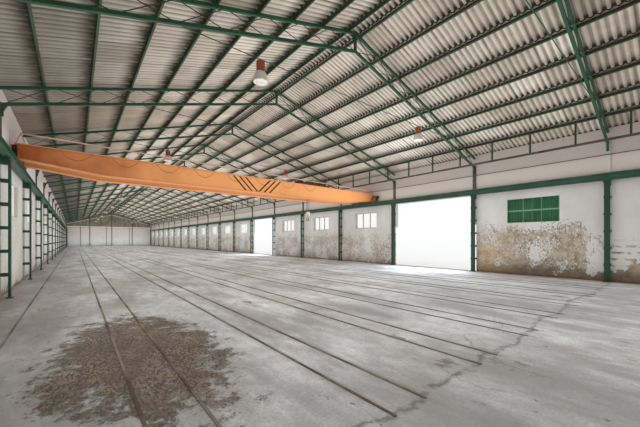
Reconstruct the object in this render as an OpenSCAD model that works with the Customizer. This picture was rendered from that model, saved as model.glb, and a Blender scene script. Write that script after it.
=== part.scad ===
// Long gabled crane hall with brick walls, a trussed roof and an overhead crane, at 1:10.
// Millimetres. Origin under the middle of the slab, +X to the doorway wall, +Y along the hall.

/* [Hall] */
// Clear width between the long walls
hall_w = 1760; // [1600:10:2000]
// Distance from one frame to the next
bay = 500; // [480:5:540]
// Number of bays along the hall
bays = 19; // [10:1:19]
// Thickness of the brick walls
wall_t = 25; // [15:1:40]
// Thickness of the floor slab
slab_t = 20; // [10:1:40]
// Height of the rafters' top at the ridge, above the floor
ridge_h = 848; // [820:1:900]
// Height of the rafters' top at the long walls, above the floor
eaves_h = 583; // [570:1:600]

/* [Roof] */
// Thickness of a chord in the rafter's plane
chord_t = 8; // [6:0.5:12]
// Width of a chord along the hall
chord_w = 7; // [6:0.5:12]
// Height from the lower chord's top to the upper chord's top at the ridge
truss_ridge_d = 60; // [50:1:70]
// The same height at the column
truss_eaves_d = 46; // [36:1:50]
// Panels of lacing in each half of a frame
lacing_panels = 8; // [5:1:10]
// Thickness of the lacing bars
lacing_t = 1.6; // [1:0.1:3]
// Width of the king post at the ridge
king_w = 8; // [6:0.5:12]
// Distance of a tie rod's end from the ridge
tie_x = 545; // [450:5:600]
// Diameter of a tie rod
tie_d = 2.4; // [1.5:0.1:4]
// Height of the foot under a lower chord at the wall
truss_foot_h = 28; // [16:1:32]
// Width of that foot's lower half
truss_foot_w = 4; // [3:0.5:6]
// Depth of a purlin
purlin_h = 10; // [7:0.5:14]
// Width of a purlin's flange
purlin_w = 5; // [3.5:0.5:8]
// Steel thickness of a purlin
purlin_t = 1; // [0.6:0.1:1.6]
// Distance of the first purlin from the ridge
purlin_first = 25; // [18:1:32]
// Distance of the lowest purlin from the long wall
purlin_edge = 94.8; // [85:0.2:120]
// Purlins on each slope
purlin_count = 8; // [5:1:8]
// Thickness of a roof sheet over its waves
sheet_t = 6.4; // [3:0.2:8]
// Rise of a sheet's foot where it laps over the next one
lap_rise = 0.8; // [0.4:0.1:1.5]
// Distance from a lap to the purlin below it
lap_l = 8; // [5:0.5:15]
// Bedding between the sheets and what carries them
bedding = 0.1; // [0.05:0.05:0.5]
// Overhang of the sheets at the eaves
eaves_overhang = 20; // [8:1:30]
// Overhang of the sheets at the gables
gable_overhang = 12; // [5:1:30]
// Width of each wing of the ridge cap
cap_w = 24; // [14:1:40]
// Thickness of the ridge cap
cap_t = 2; // [1:0.2:3]

/* [Columns] */
// Width of a column along the hall
column_w = 17; // [12:1:24]
// Thickness of a column's two legs
leg_t = 5; // [3:0.5:7]
// Width of the slim leg on the wall
wall_leg_w = 5; // [3:0.5:17]
// Height of a batten between the legs
batten_h = 9; // [4:0.5:12]
// Distance from batten to batten
batten_pitch = 65; // [50:1:90]
// Thickness of a batten, one on each face of the column
batten_t = 1.5; // [1:0.5:3]
// Height of the plate under a column's head
head_plate_h = 20; // [8:1:30]
// Height of the plate under a column
base_plate_t = 3; // [2:0.5:5]
// How far that plate stands out from the front leg
base_plate_out = 4; // [2:0.5:8]
// Width of the bracket at a column's head
head_w = 26; // [18:1:34]
// Height of that bracket
head_h = 12; // [8:1:20]
// Depth of the slim stub above a column
stub_d = 6; // [4:0.5:8]
// Width of that stub along the hall
stub_w = 15; // [6:1:17]

/* [Runway] */
// Height of a runway beam's underside above the floor
runway_h = 390; // [370:1:395]
// Depth of a runway beam
runway_d = 25; // [20:1:30]
// Width of a runway beam's flanges
runway_w = 15; // [12:1:18]
// Thickness of a runway beam's web and flanges
runway_t = 2; // [1.2:0.2:3]
// Width of a crane rail
rail_w = 4.5; // [3:0.5:6]
// Height of a crane rail
rail_h = 4; // [3:0.5:6]

/* [Openings] */
// Height of the window sills above the floor
sill_h = 241; // [220:1:250]
// Height of the windows
window_h = 110; // [90:1:120]
// Width of the windows
window_w = 200; // [160:2:240]
// Depth of a window frame
frame_d = 8; // [5:0.5:12]
// Width of a frame's bars
frame_bar = 5; // [3:0.5:8]
// Thickness of the glass
glass_t = 1; // [0.6:0.1:2]
// Bay with the shuttered window
shutter_bay = 1; // [0:1:1]
// Bay with the doorway
door_bay = 2; // [2:1:4]
// Bay that stands open
open_bay = 6; // [6:1:8]
// Thickness of the shutters
shutter_t = 3; // [2:0.5:5]
// Width of a cleft between two shutter leaves
leaf_gap = 1; // [0.5:0.1:2]
// Width of the two narrow leaves in the middle
narrow_leaf_w = 34; // [24:1:48]

/* [Gables] */
// Height of the white lower gable wall above the floor
gable_wall_h = 480; // [440:1:500]
// Height of the light band on top of it
band_h = 10; // [6:1:14]
// How far the band stands out
band_out = 4; // [2:0.5:8]
// Width of a gable post
post_w = 9; // [6:0.5:12]
// Depth of the sloping bands, level with the frames' lower chords
verge_h = 10; // [6:1:24]
// How far the tall posts' tops stay under the roof
post_drop = 16; // [4:1:24]
// Thickness of the cladding over its waves
clad_t = 6; // [4:0.5:9]

/* [Right eaves] */
// Height of the eaves bar's underside above the floor
bar_h = 523; // [518:1:526]
// Side of the square eaves bar
bar_w = 8; // [4:0.5:10]
// Side of a hanger
hanger_w = 6; // [3:0.5:8]
// Distance of the first hanger from the near gable
hanger_first = 130; // [120:1:135]
// Distance from hanger to hanger
hanger_pitch = 150; // [120:5:200]
// Height of the conduit above the floor
conduit_h = 490; // [470:1:500]
// Diameter of the conduit
conduit_d = 3; // [2:0.5:5]

/* [Floor rails] */
// Distance of the lone rail from the left wall
lone_inset = 76; // [50:1:80]
// Distance of the first pair of rails from the left wall
pair_inset = 210; // [190:2:220]
// Distance from pair to pair
pair_pitch = 181; // [170:1:184]
// Pairs of rails
pair_count = 8; // [4:1:8]
// Gauge of a pair
pair_gauge = 50; // [40:1:60]
// Width of a floor rail
strip_w = 3.2; // [2:0.2:8]
// Height by which a floor rail stands out
strip_h = 0.8; // [0.4:0.1:2]
// Distance from the near gable to the floor rails
strip_start = 475; // [440:5:520]
// Distance from the far gable to the floor rails
strip_end = 20; // [16:1:60]

/* [Lamps] */
// Distance of the left lamps from the ridge line
left_lamp_x = 345; // [300:5:420]
// Distance of the right lamps from the ridge line
right_lamp_x = 373; // [300:1:420]
// Diameter of a lamp's housing
housing_d = 22; // [14:1:26]
// Height of a lamp's housing
housing_h = 27; // [20:1:40]
// Diameter of a lamp's bell
bell_d = 37; // [30:1:44]
// Height of a lamp's bell
bell_h = 26; // [16:1:32]
// Length of the hook that a lamp hangs from
lamp_hook_l = 5; // [4:1:14]
// Diameter of that hook
lamp_hook_d = 3; // [2:0.5:5]

/* [Crane] */
// Place of the crane along the hall, from the middle
crane_y = -2997; // [-3040:1:-2960]
// Distance between the two girders' middles
girder_gauge = 122; // [116:1:140]
// Height of the girders' top above the crane rails
girder_rise = 56; // [50:1:64]
// Depth of a girder
girder_d = 76; // [66:1:80]
// Width of a girder
girder_w = 28; // [20:1:34]
// Thickness of a girder's flange plates
plate_t = 2.5; // [1:0.1:3.5]
// How far the flange plates stand out
plate_out = 4; // [1:0.5:6]
// Length of the sloping ends of a girder's underside
chamfer_l = 220; // [160:5:280]
// Height of a girder's end
girder_end_d = 50; // [40:1:50]
// Length of an end truck
truck_l = 240; // [240:2:270]
// Width of an end truck
truck_w = 12; // [10:0.5:13]
// Depth of an end truck
truck_d = 32; // [28:1:36]
// Plate thickness of an end truck
truck_t = 2; // [1:0.2:3]
// Length of the buffer block at a truck's end
buffer_l = 12; // [8:1:18]
// Height of a buffer block
buffer_h = 14; // [10:1:20]
// Diameter of a crane wheel
wheel_d = 24; // [18:1:26]
// Diameter of a crane wheel's axle
axle_d = 6; // [4:0.5:8]
// Distance from wheel to wheel in an end truck
wheel_base = 210; // [190:5:210]
// Running gap of a wheel over its rail
wheel_gap = 0.3; // [0.2:0.1:0.6]
// Gap between moving pieces
clear = 5; // [5:0.5:6]
// Height of the festoon rail above the girders at the left wall
festoon_rise = 33; // [28:1:36]
// Fall of the festoon rail to the right wall
festoon_fall = 14; // [0:1:18]
// Diameter of the festoon rail
festoon_d = 5; // [3:0.5:6]
// Distance between the feet of a festoon bracket
festoon_feet = 22; // [16:1:24]
// Thickness of a festoon bracket's legs
festoon_leg = 3; // [2:0.5:4]

/* [Trolley] */
// Place of the hook across the hall
trolley_x = 369; // [340:1:390]
// Length of the trolley across the hall
trolley_l = 200; // [180:2:220]
// How far the trolley's middle lies beyond the hook
trolley_shift = 20; // [0:1:30]
// Thickness of the trolley's frame
trolley_t = 8; // [6:0.5:12]
// Width by which the trolley's frame stands over its wheels
trolley_edge = 4; // [4:0.5:8]
// Width of the solid ends of the trolley's frame
trolley_rim = 28; // [24:1:36]
// Width of the opening in its middle
trolley_well = 60; // [50:1:64]
// Diameter of a trolley wheel
trolley_wheel_d = 12; // [10:1:14]
// Width of a trolley wheel
trolley_wheel_w = 5; // [4:0.5:5]
// Diameter of a trolley wheel's axle
trolley_axle_d = 4; // [2:0.5:6]
// Distance of a trolley wheel from the frame's end
trolley_wheel_in = 14; // [12:1:16]
// Diameter of the hoist drum
drum_d = 26; // [20:1:30]
// Length of the hoist drum
drum_l = 68; // [64:1:74]
// Thickness of the drum's pedestals
pedestal_t = 8; // [6:0.5:10]
// Length of the drive's housing across the hall
drive_l = 46; // [36:1:50]
// Length of the switch box across the hall
box_l = 32; // [28:1:34]
// Width of the drive's housing and of the switch box
drive_w = 44; // [30:1:60]
// Height of the drive's housing and of the switch box
drive_h = 20; // [12:1:22]
// Diameter of a rope
rope_d = 1.6; // [1:0.2:2.4]
// Distance from rope to rope across the hall
rope_pitch = 10; // [8:0.5:10]
// Distance from rope to rope along the hall
rope_gauge = 12; // [8:1:12]
// Height of the hook's tip above the floor
hook_h = 274; // [262:1:290]
// Height of the hook block's housing
block_h = 30; // [24:1:36]
// Width of the hook block's housing across the hall
block_w = 24; // [24:1:30]
// Width of the hook block's housing along the hall
block_l = 16; // [16:1:22]
// Width of the slopes at the housing's shoulders
block_slope = 6; // [3:0.5:6]
// Radius of the hook's bowl, to the middle of its bar
hook_r = 8; // [6:0.5:10]
// Diameter of the hook's bar
hook_bar_d = 4; // [3:0.5:5]
// Length of the hook's shank
shank_l = 8; // [5:1:12]

/* [Hidden] */
$fn = 24;

half_w = hall_w / 2;
hall_l = bays * bay;
half_l = hall_l / 2;
slope = (ridge_h - eaves_h) / half_w;
roof_a = atan(slope);
slab_w = hall_w + 2 * wall_t;
slab_l = hall_l + 2 * wall_t;
purlin_pitch = (half_w - purlin_first - purlin_edge) / (purlin_count - 1);
first_lap = purlin_first + purlin_pitch - lap_l;
bar_x = half_w - purlin_edge;
roof_run = half_w + wall_t + eaves_overhang;
roof_l = slab_l + 2 * gable_overhang;
column_d = stub_d + clear + truck_w / 2 + runway_w / 2;
column_x = half_w - column_d;
runway_x = column_x + runway_w / 2;
rail_top = runway_h + runway_d + rail_h;
lower_slope = (ridge_h - truss_ridge_d - roof_h(half_w - stub_d) + truss_eaves_d)
    / (half_w - stub_d);
tie_h = lower_h(tie_x) - chord_t / 2;
pane_h = window_h - 2 * frame_bar;
// Places of the gable posts, as parts of the half width, and the short posts' section
tall_posts = [-0.5, 0, 0.5];
short_posts = [-0.7, -0.125, 0.43];
short_post_w = post_w * 2 / 3;
short_post_d = post_w / 2;

left_bays = [for (b = [0 : bays - 1]) b];
right_bays = [for (b = [0 : bays - 1]) if (b != door_bay && b != open_bay) b];
glazed_bays = [for (b = right_bays) if (b != shutter_bay) b];
open_bays = [door_bay, open_bay];

// Heights above the floor of the rafters' top and of the lower chords' top, x from the ridge
function roof_h(x) = ridge_h - x * slope;
function lower_h(x) = ridge_h - truss_ridge_d - x * lower_slope;
// Where frame i stands, and the middle of bay b
function frame_y(i) =
    max(-half_l + head_w / 2, min(half_l - head_w / 2, -half_l + i * bay));
function bay_y(b) = -half_l + (b + 0.5) * bay;
// Underside of the sheets above the floor
function sheet_h(x) = roof_h(x) + purlin_h / cos(roof_a);

// Lifts its children from the floor's level
module on_floor() { translate([0, 0, slab_t]) children(); }

// Box from its low corner and its sizes, standing on the floor's level
module block(x, y, z, w, l, h) { on_floor() translate([x, y, z]) cube([w, l, h]); }

// Extrudes a shape drawn in X and height, from y along the hall
module across(y, l) { translate([0, y + l, 0]) rotate([90, 0, 0]) linear_extrude(l) children(); }

// Extrudes a shape drawn along the hall and in height, from x across it
module along(x, w) { translate([x, 0, 0]) rotate([90, 0, 90]) linear_extrude(w) children(); }

// Repeats its children on the other side of the ridge line for side = -1
module on_side(side) { if (side > 0) children(); else mirror([1, 0, 0]) children(); }

// Puts its children on the right slope: x down the slope from the ridge, z square to it
module on_slope() {
    on_floor() translate([0, 0, ridge_h]) rotate([0, roof_a, 0]) children();
}

module floor_slab() {
    color("#bdb9b6") translate([-slab_w / 2, -slab_l / 2, 0]) cube([slab_w, slab_l, slab_t]);
}

// Rail sunk in the floor, its middle at a distance from the left wall
module floor_strip(inset) {
    block(-half_w + inset - strip_w / 2, -half_l + strip_start, 0,
        strip_w, hall_l - strip_start - strip_end, strip_h);
}

module floor_rails() {
    color("#5d544c") {
        floor_strip(lone_inset);
        for (i = [0 : pair_count - 1], j = [0, 1])
            floor_strip(pair_inset + i * pair_pitch + j * pair_gauge);
    }
}

// A wall strip is cut where a doorway stands: spans is a list of [first bay, last bay]
module wall_spans(spans, z, h) {
    for (s = spans) {
        y0 = s[0] == 0 ? -half_l : -half_l + s[0] * bay + (s[2] ? column_w / 2 : 0);
        y1 = s[1] == bays - 1 ? half_l : -half_l + (s[1] + 1) * bay - (s[3] ? column_w / 2 : 0);
        block(half_w, y0, z, wall_t, y1 - y0, h);
    }
}

module wall_lower(spans) { wall_spans(spans, 0, sill_h); }

// Piers stand between the windows, from sill to head
module wall_piers(windows, gaps) {
    edges = [
        for (b = windows) [bay_y(b) - window_w / 2, bay_y(b) + window_w / 2],
        for (b = gaps) [bay_y(b) - (bay - column_w) / 2, bay_y(b) + (bay - column_w) / 2],
    ];
    on_floor() difference() {
        translate([half_w, -half_l, sill_h]) cube([wall_t, hall_l, window_h]);
        for (e = edges) translate([half_w - 1, e[0], sill_h - 1])
            cube([wall_t + 2, e[1] - e[0], window_h + 2]);
    }
}

// The upper wall reaches the sheets, whose slope its top follows
module wall_upper(lintel_h) {
    on_floor() across(-half_l, hall_l) polygon([
        [half_w, lintel_h],
        [half_w + wall_t, lintel_h],
        [half_w + wall_t, sheet_h(half_w + wall_t)],
        [half_w, sheet_h(half_w)],
    ]);
}

module left_wall_lower() { color("#c9c4bb") on_side(-1) wall_lower([[0, bays - 1]]); }

module left_wall_piers() { color("#cfcac2") on_side(-1) wall_piers(left_bays, []); }

module left_wall_upper() { color("#d6d2ca") on_side(-1) wall_upper(sill_h + window_h); }

module right_wall_lower() {
    color("#c9c4bb") wall_lower([
        [0, door_bay - 1, false, true],
        [door_bay + 1, open_bay - 1, true, true],
        [open_bay + 1, bays - 1, true, false],
    ]);
}

module right_wall_piers() { color("#cfcac2") wall_piers(right_bays, open_bays); }

// Over the doorways the wall starts at the runway beam's underside
module right_wall_upper() {
    color("#d6d2ca") difference() {
        wall_upper(sill_h + window_h);
        for (b = open_bays)
            block(half_w - 1, bay_y(b) - (bay - column_w) / 2, 0, wall_t + 2, bay - column_w, runway_h);
    }
}

module gable_wall() {
    block(-slab_w / 2, half_l, 0, slab_w, wall_t, gable_wall_h);
    block(-half_w + column_d, half_l - band_out, gable_wall_h - band_h,
        2 * (half_w - column_d), band_out, band_h);
}

module gable_walls() { color("#dedad2") for (end = [0, 1]) mirror([0, end, 0]) gable_wall(); }

module gable_cladding() {
    eaves_x = half_w + wall_t;
    color("#8f857b") for (end = [0, 1]) mirror([0, end, 0])
        on_floor() across(half_l, clad_t) polygon([
            [-eaves_x, gable_wall_h], [eaves_x, gable_wall_h], [eaves_x, sheet_h(eaves_x)],
            [0, sheet_h(0)], [-eaves_x, sheet_h(eaves_x)],
        ]);
}

module gable_posts() {
    y0 = half_l - band_out;
    color("#3b3f3c") for (end = [0, 1]) mirror([0, end, 0]) {
        for (p = tall_posts)
            block(p * half_w - post_w / 2, y0 - post_w, 0, post_w, post_w,
                roof_h(abs(p) * half_w + post_w / 2) - post_drop);
        for (p = short_posts)
            block(p * half_w - short_post_w / 2, y0 - short_post_d, 0,
                short_post_w, short_post_d, gable_wall_h - band_h);
    }
}

// Pale band along each slope, on the gable's inner face
module gable_bands() {
    color("#d9d2c4") for (end = [0, 1], side = [-1, 1]) mirror([0, end, 0]) on_side(side)
        on_floor() across(half_l - band_out, band_out) polygon([
            [0, lower_h(0)], [half_w, lower_h(half_w)],
            [half_w, lower_h(half_w) - verge_h], [0, lower_h(0) - verge_h],
        ]);
}

// Frame of three lights, set in the middle of the wall's thickness
module window_frame(b) {
    light = (window_w - 4 * frame_bar) / 3;
    x0 = half_w + (wall_t - frame_d) / 2;
    on_floor() difference() {
        translate([x0, bay_y(b) - window_w / 2, sill_h]) cube([frame_d, window_w, window_h]);
        for (i = [0 : 2])
            translate([x0 - 1, bay_y(b) - window_w / 2 + frame_bar + i * (light + frame_bar),
                sill_h + frame_bar]) cube([frame_d + 2, light, pane_h]);
    }
}

// Three panes fill the frame's lights
module window_glass(b) {
    light = (window_w - 4 * frame_bar) / 3;
    for (i = [0 : 2])
        block(half_w + (wall_t - glass_t) / 2,
            bay_y(b) - window_w / 2 + frame_bar + i * (light + frame_bar),
            sill_h + frame_bar, glass_t, light, pane_h);
}

module left_window_frames() {
    color("#a7a49b") on_side(-1) for (b = left_bays) window_frame(b);
}

module right_window_frames() { color("#a7a49b") for (b = glazed_bays) window_frame(b); }

module left_window_glass() { color("#e9eef0") on_side(-1) for (b = left_bays) window_glass(b); }

module right_window_glass() { color("#e9eef0") for (b = glazed_bays) window_glass(b); }

// Two wide shutter leaves with two narrow ones between them, in a frame
module window_shutters() {
    wide = (window_w - 2 * frame_bar - 3 * leaf_gap) / 2 - narrow_leaf_w;
    leaves = [
        [0, wide],
        [wide + leaf_gap, narrow_leaf_w],
        [wide + narrow_leaf_w + 2 * leaf_gap, narrow_leaf_w],
        [wide + 2 * narrow_leaf_w + 3 * leaf_gap, wide],
    ];
    x0 = half_w + frame_d;
    y0 = bay_y(shutter_bay) - window_w / 2;
    color("#1f6b40") {
        on_floor() difference() {
            translate([half_w, y0, sill_h]) cube([frame_d, window_w, window_h]);
            translate([half_w - 1, y0 + frame_bar, sill_h + frame_bar])
                cube([frame_d + 2, window_w - 2 * frame_bar, pane_h]);
        }
        block(x0, y0, sill_h, shutter_t, window_w, window_h);
        for (leaf = leaves)
            block(x0 - shutter_t, y0 + frame_bar + leaf[0], sill_h + frame_bar,
                shutter_t, leaf[1], pane_h);
    }
}

// Battened column: a leg towards the hall and a slim leg on the wall, joined by flat battens on
// both faces, on a base plate and under a bracket
module column(y) {
    inner = column_d - leg_t;
    block(column_x, y - column_w / 2, 0, leg_t, column_w, runway_h);
    block(half_w - leg_t, y - wall_leg_w / 2, 0, leg_t, wall_leg_w, runway_h);
    for (z = [batten_pitch : batten_pitch : runway_h - batten_pitch / 2], face = [-1, 1])
        block(column_x, y + face * (column_w + batten_t) / 2 - batten_t / 2, z - batten_h / 2,
            column_d, batten_t, batten_h);
    block(column_x + leg_t, y - column_w / 2, runway_h - head_plate_h, inner, column_w,
        head_plate_h);
    block(column_x - base_plate_out, y - column_w / 2 - base_plate_out, 0,
        leg_t + 2 * base_plate_out, column_w + 2 * base_plate_out, base_plate_t);
    on_floor() along(column_x, leg_t) polygon([
        [y - column_w / 2, runway_h - head_h], [y + column_w / 2, runway_h - head_h],
        [y + head_w / 2, runway_h], [y - head_w / 2, runway_h],
    ]);
}

module columns(side) { on_side(side) for (i = [0 : bays]) column(frame_y(i)); }

module left_columns() { color("#2a5f43") columns(-1); }

module right_columns() { color("#2a5f43") columns(1); }

// Slim stub on the wall, from the column's head to the frame's lower chord
module stubs(side) {
    x0 = half_w - stub_d;
    on_side(side) for (i = [0 : bays])
        block(x0, frame_y(i) - stub_w / 2, runway_h, stub_d, stub_w, lower_h(x0) - runway_h);
}

module column_stubs() { color("#7c8478") for (side = [-1, 1]) stubs(side); }

module runway_beam() {
    on_floor() across(-half_l, hall_l) translate([runway_x, runway_h]) {
        translate([-runway_w / 2, 0]) square([runway_w, runway_t]);
        translate([-runway_t / 2, 0]) square([runway_t, runway_d]);
        translate([-runway_w / 2, runway_d - runway_t]) square([runway_w, runway_t]);
    }
}

module left_runway_beam() { color("#24513d") on_side(-1) runway_beam(); }

module right_runway_beam() { color("#24513d") runway_beam(); }

module crane_rails() {
    color("#6f6a63") for (side = [-1, 1]) on_side(side)
        block(runway_x - rail_w / 2, -half_l, runway_h + runway_d, rail_w, hall_l, rail_h);
}

// Half of a trussed frame, from the king post to the wall, with a foot on the wall's stub
module half_frame(y) {
    t = chord_t / cos(roof_a);
    x0 = king_w / 2;
    x1 = half_w - stub_d;
    foot = lower_h(x1) - t - truss_foot_h;
    x2 = x1 - truss_foot_h / 2;
    on_floor() across(y - chord_w / 2, chord_w) {
        polygon([[x0, roof_h(x0)], [half_w, roof_h(half_w)],
            [half_w, roof_h(half_w) - t], [x0, roof_h(x0) - t]]);
        polygon([[x0, lower_h(x0)], [x1, lower_h(x1)], [x1, lower_h(x1) - t], [x0, lower_h(x0) - t]]);
        polygon([[x2, lower_h(x2) - t / 2], [x1, lower_h(x1) - t / 2], [x1, foot],
            [x1 - truss_foot_w, foot], [x1 - truss_foot_w, foot + truss_foot_h / 2]]);
    }
    lacing(y, x0, x1);
}

// Rods crossing in each panel between the chords
module lacing(y, x0, x1) {
    panel = (x1 - x0) / lacing_panels;
    on_floor() across(y - lacing_t / 2, lacing_t) for (i = [0 : lacing_panels - 1]) {
        a = x0 + i * panel;
        b = a + panel;
        rod([a, lower_h(a) - chord_t / 2], [b, roof_h(b) - chord_t / 2]);
        rod([a, roof_h(a) - chord_t / 2], [b, lower_h(b) - chord_t / 2]);
    }
}

// Flat rod between two points of the frame's plane, one lacing thickness wide
module rod(p, q) {
    d = (q - p) / norm(q - p) * lacing_t / 2;
    n = [-d[1], d[0]];
    polygon([p - n, q - n, q + n, p + n]);
}

module left_rafters() { color("#2c6b4a") on_side(-1) for (i = [1 : bays - 1]) half_frame(frame_y(i)); }

module right_rafters() { color("#2c6b4a") for (i = [1 : bays - 1]) half_frame(frame_y(i)); }

module king_posts() {
    foot = lower_h(king_w / 2) - chord_t / cos(roof_a);
    color("#2c6b4a") for (i = [1 : bays - 1])
        block(-king_w / 2, frame_y(i) - chord_w / 2, foot, king_w, chord_w,
            roof_h(king_w / 2) - foot);
}

module tie_rods() {
    color("#3a5a48") on_floor() for (i = [1 : bays - 1])
        translate([-tie_x, frame_y(i) + chord_w / 2 + tie_d / 2, tie_h]) rotate([0, 90, 0])
            cylinder(h = 2 * tie_x, d = tie_d, $fn = 8);
}

// Channel with its web down the slope's side, seated on the rafters
module purlins() {
    on_slope() for (i = [0 : purlin_count - 1]) {
        x = (purlin_first + i * purlin_pitch) / cos(roof_a);
        translate([x - purlin_w / 2, hall_l / 2, 0]) rotate([90, 0, 0])
            linear_extrude(hall_l) union() {
                square([purlin_w, purlin_t]);
                square([purlin_t, purlin_h]);
                translate([0, purlin_h - purlin_t]) square([purlin_w, purlin_t]);
            }
    }
}

module left_purlins() { color("#2f6d4c") on_side(-1) purlins(); }

module right_purlins() { color("#2f6d4c") purlins(); }

// Sheets of one slope in lapped rows, from the ridge to past the wall. A row starts on the
// purlin's level and rises by lap_rise to its foot, which lies over the head of the next row
module roof_sheets() {
    laps = [for (i = [0 : purlin_count - 2]) first_lap + i * purlin_pitch];
    edges = concat([0], laps, [roof_run]);
    heads = [for (i = [0 : purlin_count - 1]) [edges[i], bedding]];
    feet = [for (i = [0 : purlin_count - 1]) [edges[i + 1], bedding + lap_rise]];
    underside = [for (i = [0 : purlin_count - 1], p = [heads[i], feet[i]]) p];
    t = sheet_t / cos(roof_a);
    on_floor() across(-roof_l / 2, roof_l) polygon([
        for (p = underside) [p[0], sheet_h(p[0]) + p[1]],
        for (i = [len(underside) - 1 : -1 : 0])
            [underside[i][0], sheet_h(underside[i][0]) + underside[i][1] + t],
    ]);
}

module left_roof_sheets() { color("#b0a598") on_side(-1) roof_sheets(); }

module right_roof_sheets() { color("#b0a598") roof_sheets(); }

// Angled cap on the top rows, whose slope it follows
module ridge_cap() {
    z = sheet_h(0) + 2 * bedding + lap_rise * cap_w / first_lap + sheet_t / cos(roof_a);
    color("#a2988c") on_floor() across(-roof_l / 2, roof_l) polygon([
        [0, z], [cap_w, z - cap_w * slope], [cap_w, z - cap_w * slope + cap_t], [0, z + cap_t],
        [-cap_w, z - cap_w * slope + cap_t], [-cap_w, z - cap_w * slope],
    ]);
}

module eaves_bar() {
    color("#3c5244") block(bar_x - bar_w / 2, -half_l, bar_h, bar_w, hall_l, bar_w);
}

// Hangers from the lowest purlin down to the bar
module eaves_hangers() {
    x0 = bar_x - hanger_w / 2;
    x1 = bar_x + hanger_w / 2;
    color("#3c5244") for (y = [-half_l + hanger_first : hanger_pitch : half_l - hanger_w])
        on_floor() across(y - hanger_w / 2, hanger_w) polygon([
            [x0, bar_h + bar_w], [x1, bar_h + bar_w], [x1, roof_h(x1)], [x0, roof_h(x0)],
        ]);
}

module wall_conduit() {
    color("#6d6a64") on_floor()
        translate([half_w - stub_d - conduit_d / 2, half_l, conduit_h]) rotate([90, 0, 0])
            cylinder(h = hall_l, d = conduit_d, $fn = 8);
}

module at_lamps() {
    for (i = [2 : 2 : bays - 1], x = [-left_lamp_x, right_lamp_x])
        translate([x, frame_y(i) + chord_w / 2 + tie_d / 2, slab_t + tie_h - tie_d / 2]) children();
}

module lamp_housings() {
    color("#b5452a") at_lamps() {
        translate([0, 0, -lamp_hook_l]) cylinder(h = lamp_hook_l, d = lamp_hook_d);
        translate([0, 0, -lamp_hook_l - housing_h]) cylinder(h = housing_h, d = housing_d);
    }
}

// Rounded bell under the housing, closed by its lens
module lamp_bells() {
    turns = [0 : 18 : 90];
    flare = (bell_d - housing_d) / 2;
    color("#e9e6df") at_lamps() translate([0, 0, -lamp_hook_l - housing_h]) rotate_extrude()
        polygon([
            [0, 0],
            for (a = turns) [housing_d / 2 + flare * sin(a), -bell_h * (1 - cos(a))],
            [0, -bell_h],
        ]);
}

girder_top = rail_top + girder_rise;
girder_z = girder_top - girder_d;
girder_end_z = girder_top - girder_end_d;
truck_z = rail_top + clear;
truck_top = truck_z + truck_d;
truck_x = runway_x - truck_w / 2;
truck_in = truck_w - 2 * truck_t;

// Box girder between two flange plates, shallower at its ends, which lie on the end trucks
module girder(y) {
    x0 = truck_x - chamfer_l;
    x1 = truck_x;
    x2 = truck_x + truck_w;
    foot = [[-x1, girder_end_z], [-x0, girder_z], [x0, girder_z], [x1, girder_end_z]];
    on_floor() {
        across(y - girder_w / 2, girder_w) polygon([
            for (p = foot) p + [0, plate_t / 2],
            [x1, truck_top], [x2, truck_top], [x2, girder_top - plate_t / 2],
            [-x2, girder_top - plate_t / 2], [-x2, truck_top], [-x1, truck_top],
        ]);
        across(y - girder_w / 2 - plate_out, girder_w + 2 * plate_out) {
            polygon([for (p = foot) p, for (i = [3 : -1 : 0]) foot[i] + [0, plate_t]]);
            translate([-x2, girder_top - plate_t]) square([2 * x2, plate_t]);
        }
    }
}

module crane_girders() {
    color("#e8893a") for (s = [-1, 1]) girder(crane_y + s * girder_gauge / 2);
}

// Hollow end truck, open below over its wheels, with a buffer block at each end
module end_trucks() {
    slot = wheel_d + 2 * wheel_gap;
    buffer_span = truck_l + 2 * buffer_l;
    color("#c9702c") for (side = [-1, 1]) on_side(side) difference() {
        union() {
            block(truck_x, crane_y - truck_l / 2, truck_z, truck_w, truck_l, truck_d);
            block(truck_x, crane_y - buffer_span / 2, truck_top - buffer_h,
                truck_w, buffer_span, buffer_h);
        }
        for (s = [-1, 1])
            block(truck_x + truck_t, crane_y + s * wheel_base / 2 - slot / 2, truck_z - 1,
                truck_in, slot, truck_d - truck_t + 1);
    }
}

module crane_wheels() {
    color("#3a3734") for (side = [-1, 1], s = [-1, 1]) on_side(side) on_floor()
        translate([runway_x, crane_y + s * wheel_base / 2, rail_top + wheel_gap + wheel_d / 2])
            rotate([0, 90, 0]) {
                cylinder(h = truck_in - 1, d = wheel_d, center = true);
                cylinder(h = truck_in, d = axle_d, center = true);
            }
}

bracket_x = truck_x - truck_w / 4;
festoon_y = crane_y - (girder_gauge + girder_w) / 2;

// Two legs from the girder's top to the festoon rail
module festoon_bracket(x, rise) {
    w = festoon_leg / 2;
    across(festoon_y - w, festoon_leg) for (s = [-1, 1]) {
        foot = x + s * festoon_feet / 2;
        polygon([[foot - w, girder_top], [foot + w, girder_top],
            [x + w, girder_top + rise], [x - w, girder_top + rise]]);
    }
}

// Taut rail over the near girder on a bracket at each end, for the trolley's cable
module festoon_rail() {
    run = [2 * bracket_x, festoon_fall];
    color("#c9a394") on_floor() {
        translate([-bracket_x, festoon_y, girder_top + festoon_rise])
            rotate([0, 90 + atan(run[1] / run[0]), 0]) cylinder(h = norm(run), d = festoon_d);
        festoon_bracket(-bracket_x, festoon_rise);
        festoon_bracket(bracket_x, festoon_rise - festoon_fall);
    }
}

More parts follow.
